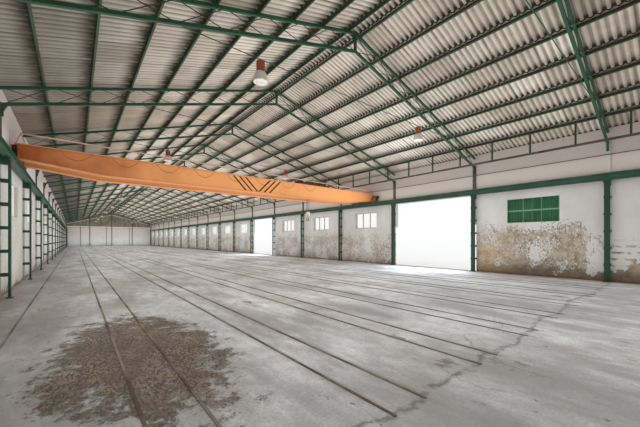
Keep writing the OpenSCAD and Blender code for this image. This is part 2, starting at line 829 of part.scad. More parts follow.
trolley_z = girder_top + clear;
trolley_top = trolley_z + trolley_t;
trolley_w = girder_gauge + 2 * trolley_edge;
trolley_x0 = trolley_x + trolley_shift - trolley_l / 2;
trolley_x1 = trolley_x0 + trolley_l;
wheel_slot = trolley_wheel_w + 1;
drum_z = trolley_top + drum_d / 2 + 1;
bowl_z = hook_h + hook_r + hook_bar_d / 2;
block_z = bowl_z + hook_r + shank_l;

module at_trolley_wheels() {
    for (x = [trolley_x0 + trolley_wheel_in, trolley_x1 - trolley_wheel_in], s = [-1, 1])
        translate([x, crane_y + s * girder_gauge / 2, girder_top + wheel_gap + trolley_wheel_d / 2])
            children();
}

// Plate frame, open in its middle and over its wheels
module trolley_frame() {
    color("#3b3a39") on_floor() difference() {
        translate([trolley_x0, crane_y - trolley_w / 2, trolley_z])
            cube([trolley_l, trolley_w, trolley_t]);
        translate([trolley_x0 + trolley_rim, crane_y - trolley_well / 2, trolley_z - 1])
            cube([trolley_l - 2 * trolley_rim, trolley_well, trolley_t + 2]);
        at_trolley_wheels() cube([trolley_wheel_d + 1, wheel_slot, 3 * trolley_t], center = true);
    }
}

// Drum on two pedestals, the switch box and the drive's housing
module hoist_drum() {
    pedestal_y = (drum_l + pedestal_t) / 2 - 2;
    color("#2f2e2d") {
        on_floor() translate([trolley_x, crane_y + drum_l / 2, drum_z]) rotate([90, 0, 0])
            cylinder(h = drum_l, d = drum_d);
        for (s = [-1, 1])
            block(trolley_x - drum_d / 2, crane_y + s * pedestal_y - pedestal_t / 2, trolley_top,
                drum_d, pedestal_t, drum_d);
        block(trolley_x0, crane_y - drive_w / 2, trolley_top, box_l, drive_w, drive_h);
        block(trolley_x1 - drive_l, crane_y - drive_w / 2, trolley_top, drive_l, drive_w, drive_h);
    }
}

module trolley_wheels() {
    color("#4a4643") on_floor() at_trolley_wheels() rotate([90, 0, 0]) {
        cylinder(h = trolley_wheel_w, d = trolley_wheel_d, center = true);
        cylinder(h = wheel_slot, d = trolley_axle_d, center = true);
    }
}

module hoist_ropes() {
    foot = block_z + block_h;
    top = drum_z - sqrt(drum_d * drum_d - rope_pitch * rope_pitch) / 2 - wheel_gap;
    color("#4b4845") on_floor() for (x = [-1, 1] * rope_pitch / 2, y = [-1, 1] * rope_gauge / 2)
        translate([trolley_x + x, crane_y + y, foot]) cylinder(h = top - foot, d = rope_d, $fn = 8);
}

// Housing of the sheaves, with sloping shoulders and a tapering foot
module hook_block() {
    w = block_w / 2;
    n = w - block_slope;
    right = [[n, 0], [w, block_h / 2], [w, block_h - block_slope], [n, block_h]];
    color("#e4dcc6") on_floor() across(crane_y - block_l / 2, block_l) translate([trolley_x, block_z])
        polygon([for (p = right) p, for (i = [3 : -1 : 0]) [-right[i][0], right[i][1]]]);
}

// Shank and open hook
module crane_hook() {
    color("#33302e") on_floor() translate([trolley_x, crane_y, bowl_z]) {
        translate([0, 0, hook_r]) cylinder(h = shank_l, d = hook_bar_d);
        rotate([90, 0, 0]) rotate([0, 0, 150]) rotate_extrude(angle = 300)
            translate([hook_r, 0]) circle(d = hook_bar_d);
    }
}

floor_slab();
floor_rails();
left_wall_lower();
left_wall_piers();
left_wall_upper();
right_wall_lower();
right_wall_piers();
right_wall_upper();
gable_walls();
gable_cladding();
gable_posts();
gable_bands();
left_window_frames();
right_window_frames();
left_window_glass();
right_window_glass();
window_shutters();
left_columns();
right_columns();
column_stubs();
left_runway_beam();
right_runway_beam();
crane_rails();
left_rafters();
right_rafters();
king_posts();
tie_rods();
left_purlins();
right_purlins();
left_roof_sheets();
right_roof_sheets();
ridge_cap();
eaves_bar();
eaves_hangers();
wall_conduit();
lamp_housings();
lamp_bells();
crane_girders();
end_trucks();
crane_wheels();
festoon_rail();
trolley_frame();
hoist_drum();
trolley_wheels();
hoist_ropes();
hook_block();
crane_hook();
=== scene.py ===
# %% [markdown]
# # A crane hall, one tenth of its real size
# The frame holds the hall's solids: brick walls, steel frames, runway and crane. This lesson gives
# them the looks of an old working shed. Flat forms that are right already only get a finish; forms
# that repeat, such as the waves of the roof, are grown by Geometry Nodes trees built below.

# %% Load the frame
import math
from functools import partial
import bpy
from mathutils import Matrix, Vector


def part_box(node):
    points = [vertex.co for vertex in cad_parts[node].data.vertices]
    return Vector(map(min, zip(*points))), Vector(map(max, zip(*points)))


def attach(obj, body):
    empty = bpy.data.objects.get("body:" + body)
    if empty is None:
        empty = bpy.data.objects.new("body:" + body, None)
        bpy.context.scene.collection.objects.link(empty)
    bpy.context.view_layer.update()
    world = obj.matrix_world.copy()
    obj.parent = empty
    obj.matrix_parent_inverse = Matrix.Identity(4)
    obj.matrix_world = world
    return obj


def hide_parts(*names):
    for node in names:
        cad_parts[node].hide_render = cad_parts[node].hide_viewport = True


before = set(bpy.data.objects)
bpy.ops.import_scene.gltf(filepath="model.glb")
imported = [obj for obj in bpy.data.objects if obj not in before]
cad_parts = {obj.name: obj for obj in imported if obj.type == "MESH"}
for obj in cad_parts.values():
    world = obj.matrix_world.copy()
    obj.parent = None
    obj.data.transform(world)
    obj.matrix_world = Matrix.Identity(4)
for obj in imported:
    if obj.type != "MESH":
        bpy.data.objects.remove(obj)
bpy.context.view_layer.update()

# %% [markdown]
# ## Sizes
# The model is 1:10, so a size that is known from the real trade, such as the 177 mm wave of a
# fibre-cement sheet, goes through one function. Places come from the frame, never from guesses.

# %% Sizes and places
SCALE = 0.1


def mm(size):
    """Length in this scene, in metres, of a size in millimetres on the real building."""
    return size * 0.001 * SCALE


FLOOR_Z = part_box("floor_slab")[1].z
WALL_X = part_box("right_wall_lower")[0].x
WALL_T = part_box("right_wall_lower")[1].x - WALL_X
HALL_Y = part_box("gable_walls")[1].y - WALL_T
BAY = mm(5000)
RIDGE_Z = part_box("gable_cladding")[1].z
SLOPE = (RIDGE_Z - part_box("right_wall_upper")[1].z) / WALL_X
ROOF_A = math.atan(SLOPE)
print(f"hall {2 * WALL_X:.3f} x {2 * HALL_Y:.3f} m, roof slope {math.degrees(ROOF_A):.1f} degrees")

# %% [markdown]
# ## Camera
# The photograph was taken by a person standing just inside the near gable, with a wide lens held
# level. A level camera keeps upright lines upright; the horizon sits below the middle because the
# picture was cropped, and a small vertical shift of the lens does the same.

# %% Camera
IMAGE_W = 640
IMAGE_H = 427
SENSOR_MM = 36.0
FOCAL_PX = 299.93
HORIZON_ROW = 239.53
TURN = math.radians(39.23)
EYE = (-0.717, -4.444, FLOOR_Z + mm(1624))
NEAREST, FARTHEST = 0.002, 200

lens = bpy.data.cameras.new("eye")
lens.sensor_width = SENSOR_MM
lens.lens = SENSOR_MM * FOCAL_PX / IMAGE_W
lens.shift_y = (HORIZON_ROW - IMAGE_H / 2) / IMAGE_W
lens.clip_start = NEAREST
lens.clip_end = FARTHEST
camera = bpy.data.objects.new("eye", lens)
camera.location = EYE
camera.rotation_euler = (math.radians(90), 0, -TURN)
bpy.context.scene.collection.objects.link(camera)
bpy.context.scene.camera = camera
bpy.context.scene.view_settings.view_transform = "Standard"
print(f"lens {lens.lens:.2f} mm, shift {lens.shift_y:.4f}")

# %% [markdown]
# ## Nodes and colours
# Every tree below, for a surface or for a shape, is written with one small function that adds a
# node, sets it and links what feeds it. Colours are written as on a paint chart, in sRGB, and
# turned to the linear values that light adds up in.

# %% One way to add a node, one way to write a colour
MATH, RAMP, MIX = "ShaderNodeMath", "ShaderNodeMapRange", "ShaderNodeMix"
AXES, NOISE, VECTORS = "ShaderNodeSeparateXYZ", "ShaderNodeTexNoise", "ShaderNodeVectorMath"
# Sockets of a Mix node that mixes colours: its factor and its two colours
FACTOR, BELOW, ABOVE = 0, 6, 7
# Sockets of a Map Range node: from START to END of a value, its result goes from LEAST to MOST
VALUE, START, END, LEAST, MOST = range(5)


def colour(code):
    """Linear RGBA of an sRGB hex value such as #e8893a."""
    parts = [int(code[i:i + 2], 16) / 255 for i in (1, 3, 5)]
    linear = [c / 12.92 if c <= 0.04045 else ((c + 0.055) / 1.055) ** 2.4 for c in parts]
    return (*linear, 1.0)


def feed(value, socket):
    """Links a socket, or a node by its first output in use; sets a hex colour or a plain value."""
    if isinstance(value, bpy.types.Node):
        value = next(output for output in value.outputs if output.enabled)
    if isinstance(value, bpy.types.NodeSocket):
        socket.id_data.links.new(value, socket)
    else:
        socket.default_value = colour(value) if isinstance(value, str) else value


def node(tree, kind, inputs=(), operation=None, **settings):
    """Adds a node, with what feeds its inputs, by name or in order, its operation and settings."""
    made = tree.nodes.new(kind)
    if operation:
        settings["operation"] = operation
    for name, value in settings.items():
        setattr(made, name, value)
    for key, value in inputs.items() if isinstance(inputs, dict) else enumerate(inputs):
        feed(value, made.inputs[key])
    return made


print("linear mid grey:", round(colour("#808080")[0], 3))

# %% [markdown]
# ## Light
# Outside, a plain white sky lights the shed evenly, and the camera sees it as white through doors
# and windows. Inside, daylight bounces so often between pale floor and walls that it comes from
# everywhere: a large soft panel under the trusses faces down and another over the floor faces up.
# Set apart like this, both light the walls at every height. The two doorways add their own cool
# light, which rakes over the floor and up the right end of the crane.

# %% Sky and panels
SKY = 1.2
sky = bpy.data.worlds.new("soft_sky")
bpy.context.scene.world = sky
sky.use_nodes = True
sky.node_tree.nodes.clear()
add = partial(node, sky.node_tree)
path = add("ShaderNodeLightPath").outputs
mirrored = add(MATH, (path["Is Glossy Ray"], path["Is Transmission Ray"]), "MAXIMUM")
seen = add(MATH, (path["Is Camera Ray"], mirrored), "MAXIMUM")
glow = add("ShaderNodeBackground", {"Color": "#f7f9fb", "Strength": SKY})
white = add("ShaderNodeBackground", {"Color": "#ffffff", "Strength": 1.0})
either = add("ShaderNodeMixShader", (seen, glow, white))
add("ShaderNodeOutputWorld", {"Surface": either})


def soft_panel(name, size, place, turn, radiance, tint=(1.0, 1.0, 1.0)):
    """Large area light with an even radiance, seen by surfaces but not by the camera."""
    lamp = bpy.data.lights.new(name, "AREA")
    lamp.shape = "RECTANGLE"
    lamp.size, lamp.size_y = size
    lamp.energy = radiance * math.pi * size[0] * size[1]
    lamp.color = tint
    holder = bpy.data.objects.new(name, lamp)
    holder.location = place
    holder.rotation_euler = turn
    holder.visible_camera = False
    holder.visible_glossy = False
    bpy.context.scene.collection.objects.link(holder)


UNDER_ROOF = FLOOR_Z + mm(5150)
OVER_FLOOR = FLOOR_Z + mm(120)
PANEL = (2 * WALL_X * 0.92, 2 * HALL_Y * 0.985)
FROM_ABOVE, FROM_BELOW = 0.7, 0.92
DOOR = (mm(3500), mm(4500))
DOOR_X = WALL_X - mm(300)
DOOR_Z = FLOOR_Z + mm(1950)
DOORS = {2: 8.8, 6: 6.6}
COOL = (0.77, 0.88, 1.0)
soft_panel("daylight_down", PANEL, (0, 0, UNDER_ROOF), (0, 0, 0), FROM_ABOVE)
soft_panel("daylight_up", PANEL, (0, 0, OVER_FLOOR), (math.pi, 0, 0), FROM_BELOW)
for door_bay, door_radiance in DOORS.items():
    door_y = -HALL_Y + (door_bay + 0.5) * BAY
    soft_panel(f"doorway_light_{door_bay}", DOOR, (DOOR_X, door_y, DOOR_Z), (0, math.pi / 2, 0),
               door_radiance, COOL)
print("panels:", [round(s, 3) for s in PANEL], "doorways in bays", list(DOORS))

# %% Floor and backdrop around the model
REACH = 60.0
ground = bpy.data.meshes.new("ground")
ground.from_pydata(
    [(-REACH, -REACH, 0), (REACH, -REACH, 0), (REACH, REACH, 0), (-REACH, REACH, 0)], [],
    [(0, 1, 2, 3)])
studio_floor = bpy.data.objects.new("studio_floor", ground)
bpy.context.scene.collection.objects.link(studio_floor)
pale = bpy.data.materials.new("pale_studio_floor")
pale.use_nodes = True
pale.node_tree.nodes["Principled BSDF"].inputs["Base Color"].default_value = colour("#efeeec")
pale.node_tree.nodes["Principled BSDF"].inputs["Roughness"].default_value = 0.9
ground.materials.append(pale)
print("studio floor reaches", REACH, "m")

# %% [markdown]
# ## Finishes
# A finish starts from what the real surface is and what has happened to it. Most are a paint with
# coats laid over it: a mask says where a coat lies, or where it has gone. The masks are noise whose
# size is a real size, so that a flake of paint is as big as a real flake, and bands whose places
# are measured on the building.

# %% Steps that finishes share
# A Map Range setting that rounds both ends of the range
SOFT = {"interpolation_type": "SMOOTHSTEP"}


def new_finish(name, surface):
    """New material: it, what adds a node, its Object coordinates, and what lays patches there."""
    material = bpy.data.materials.new(name)
    material.use_nodes = True
    for key, value in surface.items():
        material.node_tree.nodes["Principled BSDF"].inputs[key].default_value = value
    add = partial(node, material.node_tree)
    place = add("ShaderNodeTexCoord").outputs["Object"]
    return material, add, place, partial(noise_patches, add, place)


def measured(add, place):
    """Place on the building: across the hall, from the near gable, and above the floor."""
    x, y, z = add(AXES, (place,)).outputs
    return (x, add(MATH, (y, HALL_Y), "ADD"), add(MATH, (z, FLOOR_Z), "SUBTRACT"))


def noise_patches(add, place, size, low, high, stretch=(1, 1, 1), detail=4.0):
    """Mask of noise patches about size across: 0 under low, 1 over high, soft between them."""
    spread = add("ShaderNodeMapping", {"Vector": place, "Scale": [s / size for s in stretch]})
    grain = add(NOISE, {"Vector": spread, "Scale": 1.0, "Detail": detail, "Roughness": 0.62})
    return add(RAMP, {VALUE: grain, START: low, END: high}, **SOFT)


def masked(add, operation, *masks):
    """One mask of several: MULTIPLY holds where all of them do, MAXIMUM where any does."""
    mask = masks[0]
    for other in masks[1:]:
        mask = add(MATH, (mask, other), operation)
    return mask


def band(add, value, low, high, soft):
    """Mask that is 1 from low to high and 0 outside, with edges 2 soft wide."""
    rise, drop = (
        add(RAMP, {VALUE: value, START: outer, END: inner})
        for outer, inner in ((low - soft, low + soft), (high + soft, high - soft)))
    return masked(add, "MULTIPLY", rise, drop)


def coats(add, paint, *layers):
    """Lays coats over a paint; each is a mask, the share of it that covers, and a tone."""
    for mask, share, tone in layers:
        if share != 1:
            mask = add(MATH, (mask, share), "MULTIPLY")
        paint = add(MIX, {FACTOR: mask, BELOW: paint, ABOVE: tone}, data_type="RGBA")
    return paint


def facing_up(add):
    """How far a face looks up: 1 for level tops, -1 for undersides."""
    normal = add("ShaderNodeNewGeometry").outputs["Normal"]
    return add(AXES, (normal,)).outputs["Z"]


def surfaced(finish, add, paint, height=None, depth=0.0):
    """Gives a finish its colour, and a bump of a real depth from a 0 to 1 height; returns it."""
    surface = finish.node_tree.nodes["Principled BSDF"].inputs
    feed(paint, surface["Base Color"])
    if height:
        bump = add("ShaderNodeBump", {"Height": height, "Distance": depth, "Strength": 1.0})
        feed(bump, surface["Normal"])
    return finish


def dress(material, *names):
    """Gives CAD nodes a finish."""
    for name in names:
        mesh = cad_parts[name].data
        mesh.materials.clear()
        mesh.materials.append(material)
    print(f"{material.name}: {', '.join(names)}")


print("materials before the finishes:", [material.name for material in bpy.data.materials])

# %% [markdown]
# ### Limewashed plaster
# The brick walls carry a grey-brown cement render under many coats of white limewash. Damp rises
# from the floor, so lime lets go in small flakes, thickly near the floor and hardly at all above
# the sills. A loss value says how much of the wash is gone at a place, and a fine noise turns it
# into flakes: where the loss is one half, half the surface is bare.

# %% Plaster on the long walls
SILL = mm(2410)
HALF_COURSE = mm(125)


def limewashed_plaster(name, wash, dull, loss, doorway_side):
    """White wash over render; loss is the share of wash gone low on the wall."""
    finish, add, place, patches = new_finish(name, {"Roughness": 0.92})
    _, hall, above = measured(add, place)
    # Share of wash gone: none above the sill, less far down the hall, and it wanders
    low = add(RAMP, {VALUE: above, START: SILL + mm(450), END: mm(1800), LEAST: -0.15, MOST: loss})
    wander = add(NOISE, {"Vector": place, "Scale": 1 / mm(900), "Detail": 4.0, "Roughness": 0.6})
    drift = add(MATH, (wander, 1.3, -0.65), "MULTIPLY_ADD")
    around = add(MATH, (low, drift), "ADD")
    held = add(RAMP, {VALUE: hall, START: mm(13000), END: mm(16000), MOST: -0.16})
    share = add(MATH, (around, held), "ADD")
    # The bare foot of the wall stands highest near the camera
    foot_h = add(RAMP, {
        VALUE: hall, START: mm(8000), END: mm(11000), LEAST: mm(480), MOST: mm(130)})
    if doorway_side:
        # Dry places keep their wash: beside the near column, a mended patch, and the first bay
        strip = band(add, hall, mm(5000), mm(5650), mm(160))
        mended = masked(add, "MULTIPLY", band(add, hall, mm(7150), mm(7550), mm(260)),
                        band(add, above, mm(750), mm(1350), mm(260)))
        first = band(add, hall, mm(-100), mm(5000), mm(20))
        dry = masked(add, "MAXIMUM", mended, first, strip)
        share = add(MATH, (dry, -0.42, share), "MULTIPLY_ADD")
        corner = add(RAMP, {VALUE: hall, START: mm(4700), END: mm(4300), MOST: mm(330)})
        raised = add(MATH, (foot_h, corner), "ADD")
        foot_h = add(MATH, (strip, mm(-260), raised), "MULTIPLY_ADD")
    stretched = add("ShaderNodeMapping", {
        "Vector": place, "Scale": [1 / mm(s) for s in (60, 60, 84)]})
    flakes = add(NOISE, {"Vector": stretched, "Scale": 1.0, "Detail": 3.0, "Roughness": 0.66})
    level = add(MATH, (share, 0.5, flakes), "MULTIPLY_ADD")
    lost = add(RAMP, {VALUE: level, START: 0.715, END: 0.765})
    ragged = add(NOISE, {"Vector": place, "Scale": 1 / mm(600), "Detail": 6.0, "Roughness": 0.62})
    edge = add(MATH, (ragged, mm(1700), mm(-850)), "MULTIPLY_ADD")
    waving = add(MATH, (edge, foot_h), "ADD")
    foot = add(MATH, (waving, above), "SUBTRACT")
    bare = add(RAMP, {VALUE: foot, START: 0.0, END: mm(50), MOST: float(loss > 0)})
    missing = masked(add, "MAXIMUM", lost, bare)
    if doorway_side:
        # In the first bay the wash breaks off in level chips along the block courses
        raised = add(MATH, (above, mm(-120)), "ADD")
        courses = add(MATH, (raised, HALF_COURSE), "PINGPONG")
        on_course = add(RAMP, {VALUE: courses, START: mm(52), END: mm(30)})
        chips = patches(mm(190), 0.46, 0.5, (1, 1, 1.4), detail=6.0)
        height = band(add, above, mm(700), mm(1500), mm(150))
        lines = masked(add, "MULTIPLY", on_course, chips, first, height)
        missing = masked(add, "MAXIMUM", missing, lines)
    # Wash that greys in clouds, is warmer up high, drips and chips
    high_up = add(RAMP, {VALUE: above, START: mm(3300), END: mm(4700)}, **SOFT)
    washed = coats(
        add, wash, (patches(mm(1800), 0.3, 0.72, (1, 1, 0.6)), 1, dull), (high_up, 1, "#cfc6c0"),
        (patches(mm(130), 0.66, 0.8, (1, 1, 0.12), detail=3.0), 0.3, "#8f857c"),
        (patches(mm(110), 0.71, 0.74, (1, 1, 1.6), detail=3.0), 0.55, "#81776c"))
    # Render that darkens where it is wet; farther in, dry dust has greyed it
    wet = add(RAMP, {VALUE: above, START: mm(700), END: mm(250), MOST: 0.7})
    greyed = add(RAMP, {VALUE: hall, START: mm(12000), END: mm(16000), MOST: 0.75})
    render = coats(
        add, "#afa290", (patches(mm(260), 0.35, 0.7), 1, "#7b6e5e"),
        (wet, 1, "#615646"), (greyed, 1, "#a1968e"))
    if doorway_side:
        # Beside the doorway the render is a warmer, paler tan
        jamb = band(add, hall, mm(9200), mm(10100), mm(1300))
        render = coats(add, render, (jamb, 0.8, "#cba682"))
    # A line of brown dirt where the floor meets the wall
    swept = add(RAMP, {VALUE: above, START: mm(110), END: mm(20), MOST: 0.7})
    paint = coats(add, washed, (missing, 1, render), (swept, 1, "#6b4d39"))
    # The lost wash is a step down, and block courses press through it as faint level lines
    joints = add(MATH, (above, HALF_COURSE), "PINGPONG")
    joint = add(RAMP, {VALUE: joints, START: 0.0, END: mm(18)})
    kept = add(MATH, (1.0, missing), "SUBTRACT")
    coat = add(MATH, (joint, 0.3, kept), "MULTIPLY_ADD")
    return surfaced(finish, add, paint, coat, mm(7))


dress(limewashed_plaster("limewashed_plaster_doorway_side", "#cbcac8", "#b8b6b4", 0.62, True),
      "right_wall_lower", "right_wall_piers")
dress(limewashed_plaster("limewashed_plaster_left", "#c9c9c1", "#b5b4ab", 0.3, False),
      "left_wall_lower", "left_wall_piers")
dress(limewashed_plaster("limewashed_plaster_high", "#cbcac8", "#b8b6b4", 0.0, False),
      "right_wall_upper", "left_wall_upper")

# %% [markdown]
# ### Gable wash, bands and window steel
# The end walls were washed more often and never got wet, so they are nearly plain: cool white below
# and creamy above, with a bright band along the top. A plain chalky recipe does the window frames,
# posts and conduit. The stub on the first doorway column was limewashed over with the wall.

# %% Chalky paints


def chalky_paint(name, fresh, dull, size, roughness=0.85):
    """Matt paint that has faded in clouds of a given size, with fine brush grain."""
    finish, add, place, patches = new_finish(name, {"Roughness": roughness})
    paint = coats(add, fresh, (patches(size, 0.34, 0.68), 1, dull))
    return surfaced(finish, add, paint, patches(mm(60), 0.3, 0.7), mm(3))


def two_part_paint(name, near, far, reach, size, roughness=0.85):
    """Chalky paint with one pair of tones up to a reach from the near gable, another beyond."""
    finish, add, place, patches = new_finish(name, {"Roughness": roughness})
    y = add(AXES, (place,)).outputs["Y"]
    beyond = add(MATH, (y, reach - HALL_Y), "GREATER_THAN")
    cloud = patches(size, 0.34, 0.68)
    near_paint, far_paint = (coats(add, fresh, (cloud, 1, dull)) for fresh, dull in (near, far))
    return surfaced(finish, add, coats(add, near_paint, (beyond, 1, far_paint)))


def gable_wash():
    """Cool white below, creamy above, with a bright band over a thin dark line."""
    finish, add, place, patches = new_finish("gable_limewash", {"Roughness": 0.9})
    _, _, above = measured(add, place)
    height = add(RAMP, {VALUE: above, START: mm(1200), END: mm(3600)}, **SOFT)
    paint = coats(
        add, "#cfd3d8", (height, 1, "#c8c2b8"), (patches(mm(1500), 0.4, 0.7), 0.5, "#c2bdb4"),
        (band(add, above, mm(4480), mm(4560), mm(20)), 1, "#6c635a"),
        (band(add, above, mm(4600), mm(5000), mm(20)), 1, "#f0e7dc"))
    return surfaced(finish, add, paint, patches(mm(60), 0.3, 0.7), mm(3))


def stub_paint():
    """Grey-brown paint; the stub on the first doorway column has the wall's wash."""
    finish, add, place, patches = new_finish("wall_stub_paint", {"Roughness": 0.7})
    x, hall, _ = measured(add, place)
    right = add(MATH, (x, 0.0), "GREATER_THAN")
    first = band(add, hall, mm(4500), mm(5500), mm(10))
    return surfaced(finish, add, coats(
        add, "#5f5a50", (patches(mm(500), 0.35, 0.68), 1, "#4a443c"),
        (masked(add, "MULTIPLY", first, right), 1, "#cbc4bc")))


dress(gable_wash(), "gable_walls")
dress(stub_paint(), "column_stubs")
dress(chalky_paint("cream_band_paint", "#fbf6ea", "#ebe4d6", mm(900)), "gable_bands")
# One paint on all frames: the left wall's and the far right ones are paler, as painted light where
# daylight falls
dress(two_part_paint("window_grey_paint_lit_far", ("#b9bdbd", "#a0a4a3"), ("#f4f3e6", "#dfe6da"),
                     mm(30000), mm(300)), "right_window_frames")
dress(chalky_paint("window_white_paint_lit", "#f6f4e6", "#d9e6da", mm(300)), "left_window_frames")
dress(chalky_paint("dark_post_paint", "#3b403c", "#282c28", mm(500), 0.6), "gable_posts")
dress(chalky_paint("eaves_bar_paint", "#625a50", "#4b443c", mm(400), 0.7), "eaves_bar")
dress(chalky_paint("conduit_zinc", "#5d564e", "#463f39", mm(300), 0.5), "wall_conduit")

# %% [markdown]
# ### Poured concrete
# The floor is one old pour: pale grey, power-floated, mottled down to the size of a fist, with dark
# specks of dirt trodden in and a few hair cracks. A ragged joint runs across the hall where the
# rails end. Brown dirt lies along the rails and under both long walls, and a large patch of dry
# brown litter was dragged over the first rails.

# %% Concrete floor
JOINT_Y = -HALL_Y + mm(4900)
PAIR_PITCH = mm(1810)
PAIR_GAUGE = mm(500)
LAST_PAIR_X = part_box("floor_rails")[1].x - PAIR_GAUGE
LITTER_PLACE = (-0.645, -3.93, FLOOR_Z)
LITTER_SQUEEZE = (1.16, 0.53, 0.0)
LITTER_REACH = mm(1650)


def rail_dirt(add, patches, x, shifted):
    """Dirt along the rails that lie past the joint, swept off near the left wall."""
    # The distance from the nearest pair, folded over its two rails
    from_pair = add(MATH, (x, LAST_PAIR_X + PAIR_GAUGE / 2 + PAIR_PITCH * 0.5), "SUBTRACT")
    folded = add(MATH, (from_pair, PAIR_PITCH / 2, -PAIR_PITCH / 2), "WRAP")
    centred = add(MATH, (folded,), "ABSOLUTE")
    apart = add(MATH, (PAIR_PITCH / 2, centred), "SUBTRACT")
    off_rail = add(MATH, (apart, PAIR_GAUGE / 2), "SUBTRACT")
    beside = band(add, off_rail, mm(-30), mm(45), mm(40))
    past_joint = add(RAMP, {VALUE: shifted, START: JOINT_Y + mm(200), END: JOINT_Y + mm(600)})
    patchy = patches(mm(420), 0.35, 0.7, (1, 0.4, 1))
    mostly = add(MATH, (patchy, 0.45, 0.55), "MULTIPLY_ADD")
    swept = add(RAMP, {VALUE: x, START: -WALL_X + mm(3000), END: -WALL_X + mm(4200), LEAST: 0.1})
    return masked(add, "MULTIPLY", beside, past_joint, mostly, swept)


def litter_patch(add, place, patches):
    """The patch of litter: where it lies, and its tone of straws and clumps."""
    away = add(VECTORS, (place, LITTER_PLACE), "SUBTRACT")
    squeezed = add(VECTORS, (away, LITTER_SQUEEZE), "MULTIPLY")
    distance = add(VECTORS, (squeezed,), "LENGTH")
    torn = add(NOISE, {"Vector": place, "Scale": 1 / mm(330), "Detail": 9.0, "Roughness": 0.82})
    reach = add(MATH, (torn, LITTER_REACH * 2.2, LITTER_REACH * -0.35), "MULTIPLY_ADD")
    inside = add(MATH, (reach, distance), "SUBTRACT")
    litter = add(RAMP, {VALUE: inside, START: 0.0, END: mm(260), MOST: 0.85})
    tone = coats(
        add, "#8d7861", (patches(mm(26), 0.44, 0.58, (1, 0.45, 1), detail=2.0), 1, "#33281f"),
        (patches(mm(300), 0.35, 0.65, (1, 0.5, 1)), 0.65, "#4a3929"))
    return litter, tone


def poured_concrete():
    """Worn floor slab with clouds, mottling, specks, cracks, a joint and dirt."""
    finish, add, place, patches = new_finish("poured_concrete", {"Roughness": 0.6})
    x, y, _ = add(AXES, (place,)).outputs
    # Clouds, trodden dust in streaks along the hall, warm stains, mottling and grit
    clouds = patches(mm(3000), 0.34, 0.68)
    streak = patches(mm(800), 0.42, 0.66, (1, 0.3, 1), detail=6.0)
    warm = patches(mm(2200), 0.48, 0.66, (1, 0.5, 1), detail=7.0)
    mottle = patches(mm(230), 0.32, 0.7, (1, 0.6, 1), detail=9.0)
    grit = patches(mm(34), 0.38, 0.66, detail=2.0)
    # Hair cracks: the borders of large warped cells, here and there
    warp = add(NOISE, {"Vector": place, "Scale": 1 / mm(700), "Detail": 5.0})
    bent = add(VECTORS, (warp.outputs["Color"], (mm(900),) * 3, place), "MULTIPLY_ADD")
    cells = add("ShaderNodeTexVoronoi", {
        "Vector": bent, "Scale": 1 / mm(4600)}, feature="DISTANCE_TO_EDGE")
    hair = add(RAMP, {VALUE: cells, START: 0.0012, END: 0.004, LEAST: 0.45, MOST: 0.0})
    cracks = masked(add, "MULTIPLY", hair, patches(mm(2600), 0.45, 0.6))
    # Trodden specks, sparse and sharp
    specks = masked(
        add, "MAXIMUM", patches(mm(120), 0.68, 0.73, (1, 0.5, 1), detail=3.0),
        patches(mm(520), 0.655, 0.7, (1, 0.45, 1), detail=9.0))
    # The joint: a dirty line across the hall that wanders off its straight way
    sway = add(NOISE, {"Vector": place, "Scale": 1 / mm(1500), "Detail": 5.0, "Roughness": 0.65})
    shifted = add(MATH, (sway, mm(1100), y), "MULTIPLY_ADD")
    joint = masked(
        add, "MULTIPLY", band(add, shifted, JOINT_Y + mm(530), JOINT_Y + mm(585), mm(35)),
        patches(mm(190), 0.3, 0.55))
    # Dirt along the rails, brown dust under the left wall, red-brown brick dust under the right
    aisle = add(RAMP, {
        VALUE: x, START: -WALL_X + mm(2600), END: -WALL_X + mm(200), MOST: 0.55}, **SOFT)
    dust = add(MATH, (rail_dirt(add, patches, x, shifted), 0.7, aisle), "MULTIPLY_ADD")
    foot = add(RAMP, {VALUE: x, START: WALL_X - mm(700), END: WALL_X - mm(80), MOST: 0.8})
    brick_dust = masked(add, "MULTIPLY", foot, patches(mm(600), 0.3, 0.6, (1, 0.5, 1), detail=5.0))
    litter, litter_tone = litter_patch(add, place, patches)
    paint = coats(
        add, "#f1f4f7", (clouds, 1, "#c6c8cb"), (streak, 0.72, "#92908e"), (warm, 0.4, "#aa9f92"),
        (mottle, 0.5, "#979798"), (grit, 0.3, "#8d8a87"), (cracks, 1, "#6d6762"),
        (specks, 0.7, "#5e544a"), (joint, 0.85, "#5c5651"), (dust, 1, "#80766b"),
        (brick_dust, 1, "#8d6850"), (litter, 1, litter_tone))
    # Dirt is dull where bare floated concrete has a faint sheen
    dull = add(RAMP, {VALUE: litter, LEAST: 0.6, MOST: 0.95})
    feed(dull, finish.node_tree.nodes["Principled BSDF"].inputs["Roughness"])
    grain = add(MATH, (mottle, litter), "ADD")
    return surfaced(finish, add, paint, grain, mm(6))


dress(poured_concrete(), "floor_slab")

# %% [markdown]
# ### Green enamel
# Frames, columns and runway share one dark green enamel, brushed on over red primer. It has
# chalked where the light falls, gathered dust on every ledge and let rust through in small spots.

# %% Green enamel on steel
CHORDS_CLOSE = (mm(600) - mm(460)) / mm(8740)
CHORD_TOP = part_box("left_rafters")[1].z + mm(40) * SLOPE
LEDGE_DUST = 0.6


